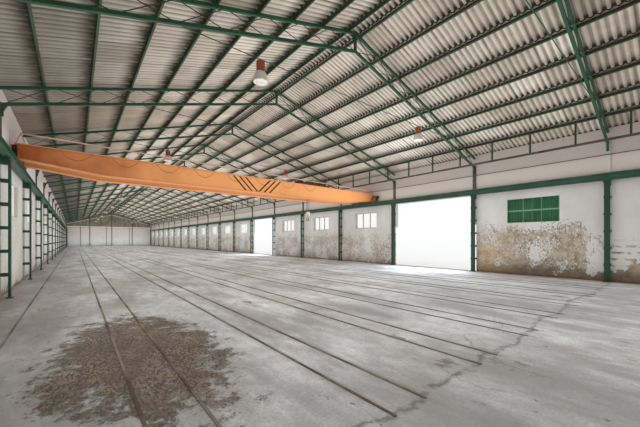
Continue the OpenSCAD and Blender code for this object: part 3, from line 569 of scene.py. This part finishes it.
def between_chords(add, place):
    """Mask of the lacing: what lies between a frame's two chords and off the king post."""
    x, _, z = add(AXES, (place,)).outputs
    level = add(MATH, (x,), "ABSOLUTE")
    fall = add(MATH, (level, SLOPE, z), "MULTIPLY_ADD")
    depth = add(MATH, (CHORD_TOP, fall), "SUBTRACT")
    lower = add(MATH, (level, CHORDS_CLOSE, depth), "MULTIPLY_ADD")
    return masked(
        add, "MULTIPLY", add(MATH, (depth, mm(88)), "GREATER_THAN"),
        add(MATH, (lower, mm(595)), "LESS_THAN"), add(MATH, (level, mm(50)), "GREATER_THAN"))


def slim_legs(add, place):
    """Mask of the columns' slim legs on the left wall."""
    x, hall, _ = measured(add, place)
    off_line = add(MATH, (hall, BAY / 2), "PINGPONG")
    return masked(
        add, "MULTIPLY", add(MATH, (x, mm(80) - WALL_X), "LESS_THAN"),
        add(MATH, (off_line, mm(30)), "LESS_THAN"))


def green_enamel(name, fresh, worn, rods=None, wash=None):
    """Brushed enamel: worn in clouds, rusty in spots, dusty on ledges; rods colours lacing,
    wash the slim legs on the left wall."""
    finish, add, place, patches = new_finish(name, {"Roughness": 0.48})
    paint = coats(
        add, fresh, (patches(mm(700), 0.35, 0.68, (1, 1, 0.5)), 1, worn),
        (patches(mm(160), 0.66, 0.72), 1, "#6a4630"))
    if rods:
        paint = coats(add, paint, (between_chords(add, place), 1, rods))
    if wash:
        paint = coats(add, paint, (slim_legs(add, place), 1, wash))
    ledge = add(RAMP, {VALUE: facing_up(add), START: 0.5, END: 0.95, MOST: LEDGE_DUST})
    brushed = patches(mm(45), 0.3, 0.7, (1, 1, 0.25))
    return surfaced(finish, add, coats(add, paint, (ledge, 1, "#9a9184")), brushed, mm(2))


dress(green_enamel("column_green_enamel", "#173a2c", "#224135", wash="#bdbcb4"),
      "left_columns", "right_columns")
dress(green_enamel("frame_green_enamel", "#1f5639", "#25493a", rods="#38352b"),
      "left_rafters", "right_rafters", "king_posts", "tie_rods")
dress(green_enamel("purlin_green_enamel", "#31513a", "#3c3d2e"),
      "left_purlins", "right_purlins", "eaves_hangers")
dress(green_enamel("runway_green_enamel", "#1f4c3a", "#37564a"),
      "left_runway_beam", "right_runway_beam")

# %% [markdown]
# ### Shutters
# The shuttered window is boarded: narrow grooves between boards, a pale worn rail across the leaves
# at half height and pale worn edges where leaf meets leaf.

# %% Boarded shutters
SHUTTER_LOW, SHUTTER_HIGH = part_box("window_shutters")
SHUTTER_MID = (SHUTTER_LOW + SHUTTER_HIGH) / 2
BOARD = mm(115)


def board_paint():
    """Green boards with dark grooves, a pale rail at half height and pale leaf edges."""
    finish, add, place, patches = new_finish("shutter_green_paint", {"Roughness": 0.55})
    _, y, z = add(AXES, (place,)).outputs
    boards = add(MATH, (y, BOARD / 2), "PINGPONG")
    groove = add(RAMP, {VALUE: boards, START: mm(12), END: mm(4), MOST: 0.6})
    centre = add(MATH, (y, SHUTTER_MID.y), "SUBTRACT")
    spread = add(MATH, (centre,), "ABSOLUTE")
    # The rail and the leaves' edges are pale, where they meet and end only half as much
    meeting = add(MATH, (spread, mm(16)), "LESS_THAN")
    outline = add(MATH, (spread, SHUTTER_HIGH.y - SHUTTER_MID.y - mm(32)), "GREATER_THAN")
    fainter = masked(add, "MAXIMUM", meeting, outline)
    lines = masked(
        add, "MAXIMUM", band(add, z, SHUTTER_MID.z - mm(30), SHUTTER_MID.z + mm(30), mm(8)),
        band(add, spread, mm(335), mm(365), mm(8)), masked(add, "MULTIPLY", fainter, 0.5))
    paint = coats(
        add, "#1a4f33", (patches(mm(400), 0.35, 0.68, (1, 1, 0.4)), 1, "#255c3e"),
        (groove, 1, "#123522"), (lines, 0.6, "#8fb79b"))
    depth = add(MATH, (1.0, groove), "SUBTRACT")
    return surfaced(finish, add, paint, depth, mm(8))


dress(board_paint(), "window_shutters")

# %% [markdown]
# ### Steel that works, and rust
# Rails are never painted: the top is polished by wheels, the rest is brown. Floor rails are sunk
# flat bar, rusty and full of dirt. Ropes, wheels, drum and hook are dark greased steel.

# %% Bare and greased steel


def working_steel(name, bright, brown, size, metallic, roughness):
    """Bare steel with rust or grease in patches."""
    finish, add, place, patches = new_finish(name, {"Metallic": metallic, "Roughness": roughness})
    rust = patches(size, 0.38, 0.62, detail=6.0)
    return surfaced(finish, add, coats(add, bright, (rust, 1, brown)), rust, mm(3))


dress(working_steel("rusty_floor_rail", "#92887b", "#5d5046", mm(900), 0.2, 0.75), "floor_rails")
dress(working_steel("worn_crane_rail", "#8a847c", "#5d5249", mm(500), 0.6, 0.5), "crane_rails")
dress(working_steel("greased_steel", "#4a4643", "#2d2927", mm(150), 0.5, 0.5),
      "crane_wheels", "trolley_wheels", "hoist_drum", "hoist_ropes", "crane_hook")
dress(working_steel("trolley_frame_steel", "#46423f", "#6a4030", mm(250), 0.2, 0.6),
      "trolley_frame")
dress(chalky_paint("festoon_rail_paint", "#c9a08a", "#a98874", mm(500), 0.6), "festoon_rail")
dress(chalky_paint("block_cream_paint", "#d6ccae", "#8f8464", mm(120), 0.55), "hook_block")

# %% [markdown]
# ### Crane orange
# A crane is painted to be seen. Its orange enamel is smoother than the frames' green. Painted shade
# darkens the web towards the left wall, away from the doorways' light, with clouds of soot in it;
# faint dark arcs follow the loops of the trolley's cable, and black bars at midspan warn of the
# hook.

# %% Orange enamel on the crane
GIRDER_LOW, GIRDER_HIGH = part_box("crane_girders")
CRANE_Y = (GIRDER_LOW.y + GIRDER_HIGH.y) / 2
WEB_Y = GIRDER_LOW.y + mm(60)
BARS = 3
BAR_PITCH = mm(310)
BAR_W = mm(100)
BARS_FROM = mm(740) - BAR_W / 2
LOOP_SPAN = mm(1487)
LOOP_SAG = mm(330)
LOOPS_FROM = mm(-7880)
LOOPS_TO = mm(4020)


def warning_bars(add, x, under, near):
    """Slanted bars on the near web: they lean towards midspan as they go down."""
    spread = add(MATH, (x,), "ABSOLUTE")
    lean = add(MATH, (spread, under), "ADD")
    first = add(MATH, (lean, BARS_FROM), "SUBTRACT")
    bar = add(MATH, (first, BAR_PITCH), "MODULO")
    return masked(
        add, "MULTIPLY", add(MATH, (bar, BAR_W), "LESS_THAN"),
        band(add, first, 0.0, BARS * BAR_PITCH - mm(20), mm(2)),
        band(add, under, mm(60), mm(700), mm(3)), near)


# Faint dark arcs along the loops of the trolley's cable
def cable_loop_arcs(add, x, under, near):
    """Arcs on the near web: one parabola for each loop of cable."""
    along = add(MATH, (x, LOOPS_FROM), "SUBTRACT")
    in_loop = add(MATH, (along, LOOP_SPAN), "FLOORED_MODULO")
    off_middle = add(MATH, (in_loop, LOOP_SPAN / 2), "SUBTRACT")
    share = add(MATH, (off_middle, LOOP_SPAN * 0.32), "DIVIDE")
    square = add(MATH, (share, share), "MULTIPLY")
    arc = add(MATH, (square, -LOOP_SAG, LOOP_SAG), "MULTIPLY_ADD")
    off_arc = add(MATH, (under, arc), "SUBTRACT")
    return masked(
        add, "MULTIPLY", band(add, off_arc, mm(-12), mm(12), mm(12)),
        band(add, x, LOOPS_FROM, LOOPS_TO, mm(5)), near)


def crane_enamel():
    """Orange enamel, with painted shade and soot to the left, warning bars and dark arcs on the
    near web.
    """
    finish, add, place, patches = new_finish("crane_orange_enamel", {"Roughness": 0.4})
    x, y, z = add(AXES, (place,)).outputs
    # Painted shade darkens the web towards the left wall, away from the doorways' light; the clouds
    # are soot
    clouds = add(NOISE, {"Vector": place, "Scale": 1 / mm(1500), "Detail": 4.0, "Roughness": 0.6})
    leftward = add(RAMP, {VALUE: x, START: mm(-2500), END: mm(-8300), MOST: 0.78})
    clouded = add(MATH, (clouds, 1.2, -0.66), "MULTIPLY_ADD")
    soot_and_shade = add(MATH, (leftward, clouded), "ADD", use_clamp=True)
    # The far girder's web gets less of the painted shade and soot
    far = add(MATH, (y, WEB_Y), "GREATER_THAN")
    kept = add(MATH, (far, -0.6, 1.0), "MULTIPLY_ADD")
    near = add(MATH, (y, WEB_Y), "LESS_THAN")
    under = add(MATH, (GIRDER_HIGH.z, z), "SUBTRACT")
    # Painted highlight along the near flange's rim
    rim = add(MATH, (y, GIRDER_LOW.y + mm(38)), "LESS_THAN")
    up = facing_up(add)
    # Painted highlights on tops, painted shade on undersides
    ledge = add(RAMP, {VALUE: up, START: 0.5, END: 0.95, MOST: 0.7})
    beneath = add(RAMP, {VALUE: up, START: -0.5, END: -0.9})
    # Painted shade and soot, streaks, dark cable arcs, black bars, a painted highlight on the near
    # flange's rim, painted highlights on tops, and painted shade on undersides
    paint = coats(
        add, "#e39a5c", (masked(add, "MULTIPLY", soot_and_shade, kept), 1, "#963f08"),
        (patches(mm(260), 0.6, 0.85, (1, 1, 0.14)), 0.35, "#9c5528"),
        (cable_loop_arcs(add, x, under, near), 0.85, "#743d20"),
        (warning_bars(add, x, under, near), 1, "#231b16"),
        (rim, 0.6, "#da996c"), (ledge, 1, "#eeb184"), (beneath, 1, "#cd8d5b"))
    return surfaced(finish, add, paint, patches(mm(50), 0.3, 0.7), mm(1.5))


dress(crane_enamel(), "crane_girders")

# %% End trucks and their buffers
TRUCK_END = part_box("end_trucks")[1].y - CRANE_Y
BUFFER_L = mm(120)


def truck_enamel():
    """Grimy orange-brown trucks whose end blocks are black rubber."""
    finish, add, place, patches = new_finish("truck_brown_enamel", {"Roughness": 0.55})
    y = add(AXES, (place,)).outputs["Y"]
    off_middle = add(MATH, (y, CRANE_Y), "SUBTRACT")
    spread = add(MATH, (off_middle,), "ABSOLUTE")
    end = add(MATH, (spread, TRUCK_END - BUFFER_L), "GREATER_THAN")
    return surfaced(finish, add, coats(
        add, "#a35a2c", (patches(mm(500), 0.3, 0.65), 1, "#5b3420"), (end, 1, "#17120f")))


dress(truck_enamel(), "end_trucks")

# %% [markdown]
# ### Glass and lamps
# The panes are thin and dusty: mostly see-through, with a milky film. A constant alpha shows the
# white sky behind them and costs no refraction. The lamps are red enamelled housings over a white
# reflector bell.

# %% Glass, lamp housings and bells


def dusty_glass():
    """Thin panes under a milky film."""
    finish, add, place, patches = new_finish("dusty_window_glass", {
        "Roughness": 0.12, "Alpha": 0.1, "IOR": 1.3, "Specular IOR Level": 0.15})
    film = patches(mm(350), 0.3, 0.7)
    return surfaced(finish, add, coats(add, "#dfeae4", (film, 1, "#f2f4f0")))


dress(dusty_glass(), "left_window_glass", "right_window_glass")
dress(two_part_paint("lamp_red_enamel", ("#ad5840", "#8c4431"), ("#9a7468", "#836256"),
                     mm(24000), mm(120), 0.4), "lamp_housings")
dress(chalky_paint("lamp_white_enamel", "#ece9e2", "#d3cdc0", mm(150), 0.35), "lamp_bells")

# %% [markdown]
# ## Growing pieces with Geometry Nodes
# A tree is a recipe with named inputs. An empty holder object runs it once, the result is copied
# to a plain mesh, and the holder goes. The tools that export the model want exactly that: plain
# meshes whose object sits at the origin.

# %% Trees, inputs and plain meshes
INPUT_KINDS = {float: "NodeSocketFloat", int: "NodeSocketInt", tuple: "NodeSocketVector"}
CREASE = math.radians(55)


def new_tree(name, inputs):
    """New shape tree with named inputs and usual values: it, what adds a node, its inputs."""
    tree = bpy.data.node_groups.new(name, "GeometryNodeTree")
    for label, usual in inputs.items():
        kind = INPUT_KINDS.get(type(usual), "NodeSocketMaterial")
        socket = tree.interface.new_socket(label, in_out="INPUT", socket_type=kind)
        if usual is not None:
            socket.default_value = usual
    tree.interface.new_socket("Geometry", in_out="OUTPUT", socket_type="NodeSocketGeometry")
    add = partial(node, tree)
    return tree, add, add("NodeGroupInput").outputs


def grid_of(add, size_x, size_y, columns, rows):
    """Grid of points, and each point's place on it."""
    grid = add("GeometryNodeMeshGrid", {
        "Size X": size_x, "Size Y": size_y, "Vertices X": columns, "Vertices Y": rows})
    return grid, add(AXES, (add("GeometryNodeInputPosition"),)).outputs


def wave_at(add, along, of, bedding):
    """Height of the wave at a distance along it, over its bedding."""
    turns = add(MATH, (along, of["Wave"]), "DIVIDE")
    angle = add(MATH, (turns, math.tau), "MULTIPLY")
    swing = add(MATH, (angle,), "COSINE")
    raised = add(MATH, (swing, 0.5, 0.5), "MULTIPLY_ADD")
    return add(MATH, (raised, of["Wave Depth"], bedding), "MULTIPLY_ADD")


def end_sheet(add, grid, spot, turned_over, of):
    """Moves the grid's points to their spots, closes it to a sheet, and ends the tree."""
    laid = add("GeometryNodeSetPosition", {
        "Geometry": grid, "Position": add("ShaderNodeCombineXYZ", spot)})
    surface = add("GeometryNodeFlipFaces", {"Mesh": laid, "Selection": turned_over})
    # Thickness: a copy moved by an offset, the rims, and the surface turned
    lifted = add("GeometryNodeExtrudeMesh", {
        "Mesh": surface, "Offset": of["Thickness"], "Offset Scale": 1.0, "Individual": False},
        mode="FACES")
    back = add("GeometryNodeFlipFaces", {"Mesh": surface})
    joined = add("GeometryNodeJoinGeometry")
    for part in (back, lifted):
        feed(part, joined.inputs[0])
    solid = add("GeometryNodeMergeByDistance", {"Geometry": joined, "Distance": mm(0.1)})
    # Smooth shading, except at edges sharper than a crease
    soft = add("GeometryNodeSetShadeSmooth", {"Geometry": solid, "Shade Smooth": True})
    angle = add("GeometryNodeInputMeshEdgeAngle")
    sharp = add("FunctionNodeCompare", {
        "A": angle.outputs["Unsigned Angle"], "B": CREASE}, "GREATER_THAN")
    shaded = add("GeometryNodeSetShadeSmooth", {
        "Geometry": soft, "Selection": sharp, "Shade Smooth": False}, domain="EDGE")
    # The export needs instances made real, then the finish
    real = add("GeometryNodeRealizeInstances", {"Geometry": shaded})
    painted = add("GeometryNodeSetMaterial", {"Geometry": real, "Material": of["Finish"]})
    add("NodeGroupOutput", {"Geometry": painted})


def volume_of(mesh):
    """Volume that a closed mesh holds; below zero if its faces point inwards."""
    mesh.calc_loop_triangles()
    at = [v.co for v in mesh.vertices]
    return sum(at[a].dot(at[b].cross(at[c])) for a, b, c in
               (t.vertices for t in mesh.loop_triangles)) / 6


def grown(name, tree, body, values, stands_for):
    """Runs a tree with these values and leaves one plain mesh that rides on the body."""
    holder = bpy.data.objects.new(name + "_holder", bpy.data.meshes.new("seed"))
    bpy.context.scene.collection.objects.link(holder)
    recipe = holder.modifiers.new("recipe", "NODES")
    recipe.node_group = tree
    for socket in tree.interface.items_tree:
        if socket.in_out == "INPUT" and socket.name in values:
            recipe[socket.identifier] = values[socket.name]
    shown = bpy.context.evaluated_depsgraph_get()
    mesh = bpy.data.meshes.new_from_object(holder.evaluated_get(shown), depsgraph=shown)
    bpy.data.objects.remove(holder)
    piece = bpy.data.objects.new(name, mesh)
    mesh.name = name
    bpy.context.scene.collection.objects.link(piece)
    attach(piece, body)
    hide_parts(*stands_for)
    print(f"{name}: {len(mesh.polygons)} faces, {volume_of(mesh) * 1e6:.1f} cm3")


print(f"edges over {math.degrees(CREASE):.0f} degrees stay sharp")

# %% [markdown]
# ## Roof sheets
# Fibre-cement sheets have waves 177 mm apart and about 50 mm deep, and each row laps over the
# next one at a purlin. One grid makes a whole slope: its points are moved to the row they belong
# to, the height follows a cosine along the hall, and the foot of each row rises over the next
# head. Modelling each of the 1400 sheets would give the same picture for far more faces.

# %% Finish of the roof sheets
ROOF_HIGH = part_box("right_roof_sheets")[1]
HALF_ROOF = ROOF_HIGH.y
WAVES = round(HALF_ROOF / mm(177))
WAVE_FIT = HALF_ROOF / WAVES
SHEET_W = WAVE_FIT * 6
SHEET_T = mm(6.5)
PURLIN_FIRST = mm(250)
PURLINS = 8
BAR_X = (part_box("eaves_bar")[0].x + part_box("eaves_bar")[1].x) / 2
PURLIN_RUN = (BAR_X - PURLIN_FIRST) / (PURLINS - 1)
LAP_BACK = mm(80)


def purlin_shade_and_grime(add, patches, x, row, swing):
    """Painted shade and grime beside each purlin, above it on the right slope and below it on the
    left;
    it is darkest in the waves' hollows, where painted shade and soot make black teeth."""
    down = add(MATH, (row,), "FRACT")
    on_left = add(MATH, (x, 0.0), "LESS_THAN")
    turned = add(MATH, (on_left, down), "SUBTRACT")
    run = add(MATH, (turned,), "ABSOLUTE")
    thick = add(MATH, (on_left, 0.5, 0.5), "MULTIPLY_ADD")
    close = add(RAMP, {VALUE: run, START: 0.56, END: 0.93, MOST: thick}, **SOFT)
    blotch = patches(mm(230), 0.3, 0.62, (0.4, 1, 0.4))
    uneven = add(MATH, (blotch, 0.5, 0.5), "MULTIPLY_ADD")
    # Painted shade in the hollows at the purlin makes the black teeth
    at_purlin = add(RAMP, {VALUE: run, START: 0.75, END: 0.92})
    deep = add(RAMP, {VALUE: swing, START: -0.8, END: 0.1})
    # Painted shadow line where one row laps over the next
    seam = add(RAMP, {VALUE: run, START: 0.935, END: 0.955})
    return masked(add, "MAXIMUM", masked(add, "MULTIPLY", close, uneven), seam,
                  masked(add, "MULTIPLY", at_purlin, deep))


def fibre_cement():
    """Old fibre cement: sheet tones, dark laps, painted shade in troughs, and shade and soot at
    purlins.
    """
    finish, add, place, patches = new_finish("fibre_cement", {"Roughness": 0.95})
    x, y, _ = add(AXES, (place,)).outputs
    level = add(MATH, (x,), "ABSOLUTE")
    from_purlin = add(MATH, (level, PURLIN_RUN - PURLIN_FIRST), "ADD")
    row = add(MATH, (from_purlin, PURLIN_RUN), "DIVIDE")
    sheet = add(MATH, (y, SHEET_W), "DIVIDE")
    # A number for each sheet picks its tone
    name_plate = add("ShaderNodeCombineXYZ", (
        add(MATH, (row,), "FLOOR"), add(MATH, (sheet,), "FLOOR"), add(MATH, (x,), "SIGN")))
    tone = add("ShaderNodeTexWhiteNoise", {"Vector": name_plate})
    # Seen from below, each wave's hollow gets painted shade and streaks of soot: 1 in the hollow, 0
    # on the low crest
    turns = add(MATH, (y, math.tau / WAVE_FIT), "MULTIPLY")
    swing = add(MATH, (turns,), "COSINE")
    hollow = add(RAMP, {VALUE: swing, START: -0.55, END: 0.75}, **SOFT)
    streaks = patches(mm(190), 0.3, 0.65, (0.25, 1, 0.25))
    soot_and_shade = add(MATH, (streaks, 0.28, 0.34), "MULTIPLY_ADD")
    # Side laps, one to a sheet
    edge = add(MATH, (sheet,), "FRACT")
    lap = add(RAMP, {VALUE: edge, START: 0.045, END: 0.02, MOST: 0.55})
    # The left slope is darker, most of all far down the hall
    left = add(RAMP, {VALUE: x, START: mm(-3500), END: mm(-7500)})
    further = add(RAMP, {
        VALUE: y, START: mm(14000) - HALL_Y, END: mm(30000) - HALL_Y, LEAST: 0.6, MOST: 0.88})
    inner = coats(
        add, "#eae0d2", (tone, 1, "#c9bdad"), (patches(mm(1700), 0.35, 0.7), 0.4, "#8b7f72"),
        # Painted shade and soot in the waves' hollows
        (masked(add, "MULTIPLY", hollow, soot_and_shade), 1, "#4e463d"),
        # Painted shade and grime at the purlins
        (purlin_shade_and_grime(add, patches, x, row, swing), 1, "#352e27"), (lap, 1, "#4b433b"),
        (masked(add, "MULTIPLY", left, further), 1, "#47443b"))
    # Outside, rain and lichen keep all sheets one dull grey
    outside = add(MATH, (facing_up(add), 0.1), "GREATER_THAN")
    lichen = patches(mm(420), 0.42, 0.72, (0.4, 1, 0.4), detail=8.0)
    weathered = coats(add, "#a8a39a", (tone, 1, "#928d84"), (lichen, 0.6, "#77736a"))
    paint = coats(add, inner, (outside, 1, weathered))
    return surfaced(finish, add, paint, patches(mm(40), 0.3, 0.7), mm(2))


sheet_finish = fibre_cement()
dress(sheet_finish, "ridge_cap")

# %% Tree of the lapped, waved rows


def roof_tree():
    """Lapped rows of waved sheets on one slope, from the ridge down."""
    tree, add, of = new_tree("lapped_wave_sheets", {
        "Rows": 8, "Columns": 6, "Start": 0.0, "Length": 1.0, "Ridge Height": 1.0, "Slope": 0.3,
        "First Lap": 0.1, "Row Run": 0.1, "Slope Run": 0.9, "Wave": 0.02, "Wave Depth": 0.004,
        "Bedding": 0.0001, "Lap Rise": 0.001, "Side": 1.0, "Thickness": (0.0, 0.0, 0.001),
        "Finish": None})
    # Grid points come in pairs along X: the foot of one row and the head of the next
    twice = add(MATH, (of["Rows"], 2.0), "MULTIPLY")
    span = add(MATH, (twice, 1.0), "SUBTRACT")
    points = add(MATH, (of["Columns"], 1.0), "ADD")
    grid, at = grid_of(add, span, of["Length"], twice, points)
    half = add(MATH, (span, 0.5), "MULTIPLY")
    raw = add(MATH, (at["X"], half), "ADD")
    number = add(MATH, (raw,), "ROUND")
    foot = add(MATH, (number, 2.0), "MODULO")
    paired = add(MATH, (number, foot), "ADD")
    line = add(MATH, (paired, 0.5), "MULTIPLY")
    # Lap lines are evenly spaced, but the first is the ridge and the last is the eaves
    before = add(MATH, (line, 1.0), "SUBTRACT")
    even = add(MATH, (before, of["Row Run"], of["First Lap"]), "MULTIPLY_ADD")
    at_ridge = add(MATH, (line, 0.5), "GREATER_THAN")
    inner = add(MATH, (even, at_ridge), "MULTIPLY")
    last = add(MATH, (of["Rows"], 0.5), "SUBTRACT")
    at_eaves = add("FunctionNodeCompare", {"A": line, "B": last}, "GREATER_THAN")
    level = add("GeometryNodeSwitch", {
        "Switch": at_eaves, "False": inner, "True": of["Slope Run"]}, input_type="FLOAT")
    # Along the hall, and the height there: the slope, the wave and the lap
    middle = add(MATH, (of["Length"], 0.5, of["Start"]), "MULTIPLY_ADD")
    along = add(MATH, (at["Y"], middle), "ADD")
    wave = wave_at(add, along, of, of["Bedding"])
    lapped = add(MATH, (foot, of["Lap Rise"], wave), "MULTIPLY_ADD")
    fall = add(MATH, (level, of["Slope"]), "MULTIPLY")
    plane = add(MATH, (of["Ridge Height"], fall), "SUBTRACT")
    height = add(MATH, (plane, lapped), "ADD")
    out = add(MATH, (level, of["Side"]), "MULTIPLY")
    mirrored_side = add(MATH, (of["Side"], 0.0), "LESS_THAN")
    end_sheet(add, grid, (out, along, height), mirrored_side, of)
    return tree


sheet_rows = roof_tree()
print(f"{sheet_rows.name}: {len(sheet_rows.nodes)} nodes")

# %% Grow the four runs of sheets
# Points to a wave: enough for a round crest near the camera, few where a wave is a pixel wide
for end_name, start, points_a_wave in (("near", -HALF_ROOF, 6), ("far", 0.0, 4)):
    for side_name, side in (("left", -1.0), ("right", 1.0)):
        grown(f"{side_name}_roof_waves_{end_name}", sheet_rows, "building", {
            "Rows": PURLINS, "Columns": WAVES * points_a_wave, "Start": start, "Length": HALF_ROOF,
            "Ridge Height": RIDGE_Z, "Slope": SLOPE,
            "First Lap": PURLIN_FIRST + PURLIN_RUN - LAP_BACK, "Row Run": PURLIN_RUN,
            "Slope Run": ROOF_HIGH.x, "Wave": WAVE_FIT, "Wave Depth": mm(57),
            "Bedding": mm(1), "Lap Rise": mm(8), "Side": side,
            "Thickness": (side * SHEET_T * math.sin(ROOF_A), 0.0, SHEET_T * math.cos(ROOF_A)),
            "Finish": sheet_finish}, (f"{side_name}_roof_sheets",))

# %% [markdown]
# ## Gable cladding
# Above the white walls both gables are clad in the same waved sheets, standing upright. Each is one
# grid whose upper edge follows the roof; a column of points stands under the ridge, so that the
# peak is sharp.

# %% Waved cladding on both gables
CLAD_LOW, CLAD_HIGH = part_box("gable_cladding")
CLAD_WAVES = 2 * round(CLAD_HIGH.x / WAVE_FIT)
CLAD_WAVE = 2 * CLAD_HIGH.x / CLAD_WAVES
POINTS_A_WAVE = 6


def cladding_finish():
    """Grey-brown sheets, with painted shade in their hollows, streaked down by rain."""
    finish, add, place, patches = new_finish("gable_fibre_cement", {"Roughness": 0.95})
    x = add(AXES, (place,)).outputs["X"]
    # Painted shade in the waves' hollows
    turns = add(MATH, (x, math.tau / CLAD_WAVE), "MULTIPLY")
    swing = add(MATH, (turns,), "COSINE")
    hollow = add(RAMP, {VALUE: swing, START: -0.2, END: 0.9, MOST: 0.6})
    blotch = patches(mm(500), 0.35, 0.68, (1, 1, 0.4), detail=6.0)
    return surfaced(finish, add, coats(
        add, "#b4ae9e", (blotch, 1, "#858071"), (hollow, 1, "#514e44")))


def gable_tree():
    """Upright waved sheet from a low edge to the roof's slopes."""
    tree, add, of = new_tree("upright_wave_sheet", {
        "Columns": 6, "Half Width": 0.9, "Low": 0.5, "Peak": 0.9, "Slope": 0.3, "Place": 0.0,
        "Wave": 0.02, "Wave Depth": 0.004, "End": 1.0, "Thickness": (0.0, 0.001, 0.0),
        "Finish": None})
    points = add(MATH, (of["Columns"], 1.0), "ADD")
    grid, at = grid_of(add, 2.0, 1.0, points, 2)
    across = add(MATH, (at["X"], of["Half Width"]), "MULTIPLY")
    off_middle = add(MATH, (across,), "ABSOLUTE")
    fall = add(MATH, (off_middle, of["Slope"]), "MULTIPLY")
    top = add(MATH, (of["Peak"], fall), "SUBTRACT")
    rise = add(MATH, (at["Y"], 0.5), "ADD")
    height = add(MIX, {0: rise, 2: of["Low"], 3: top}, data_type="FLOAT")
    bulge = wave_at(add, across, of, of["Place"])
    out = add(MATH, (bulge, of["End"]), "MULTIPLY")
    far_end = add(MATH, (of["End"], 0.0), "GREATER_THAN")
    end_sheet(add, grid, (across, out, height), far_end, of)
    return tree


upright_sheet = gable_tree()
clad_finish = cladding_finish()
for end_name, end in (("near", -1.0), ("far", 1.0)):
    grown(f"gable_waves_{end_name}", upright_sheet, "building", {
        "Columns": CLAD_WAVES * POINTS_A_WAVE, "Half Width": CLAD_HIGH.x, "Low": CLAD_LOW.z,
        "Peak": CLAD_HIGH.z, "Slope": SLOPE, "Place": HALL_Y + mm(1), "Wave": CLAD_WAVE,
        "Wave Depth": mm(50), "End": end, "Thickness": (0.0, end * SHEET_T, 0.0),
        "Finish": clad_finish}, ("gable_cladding",))
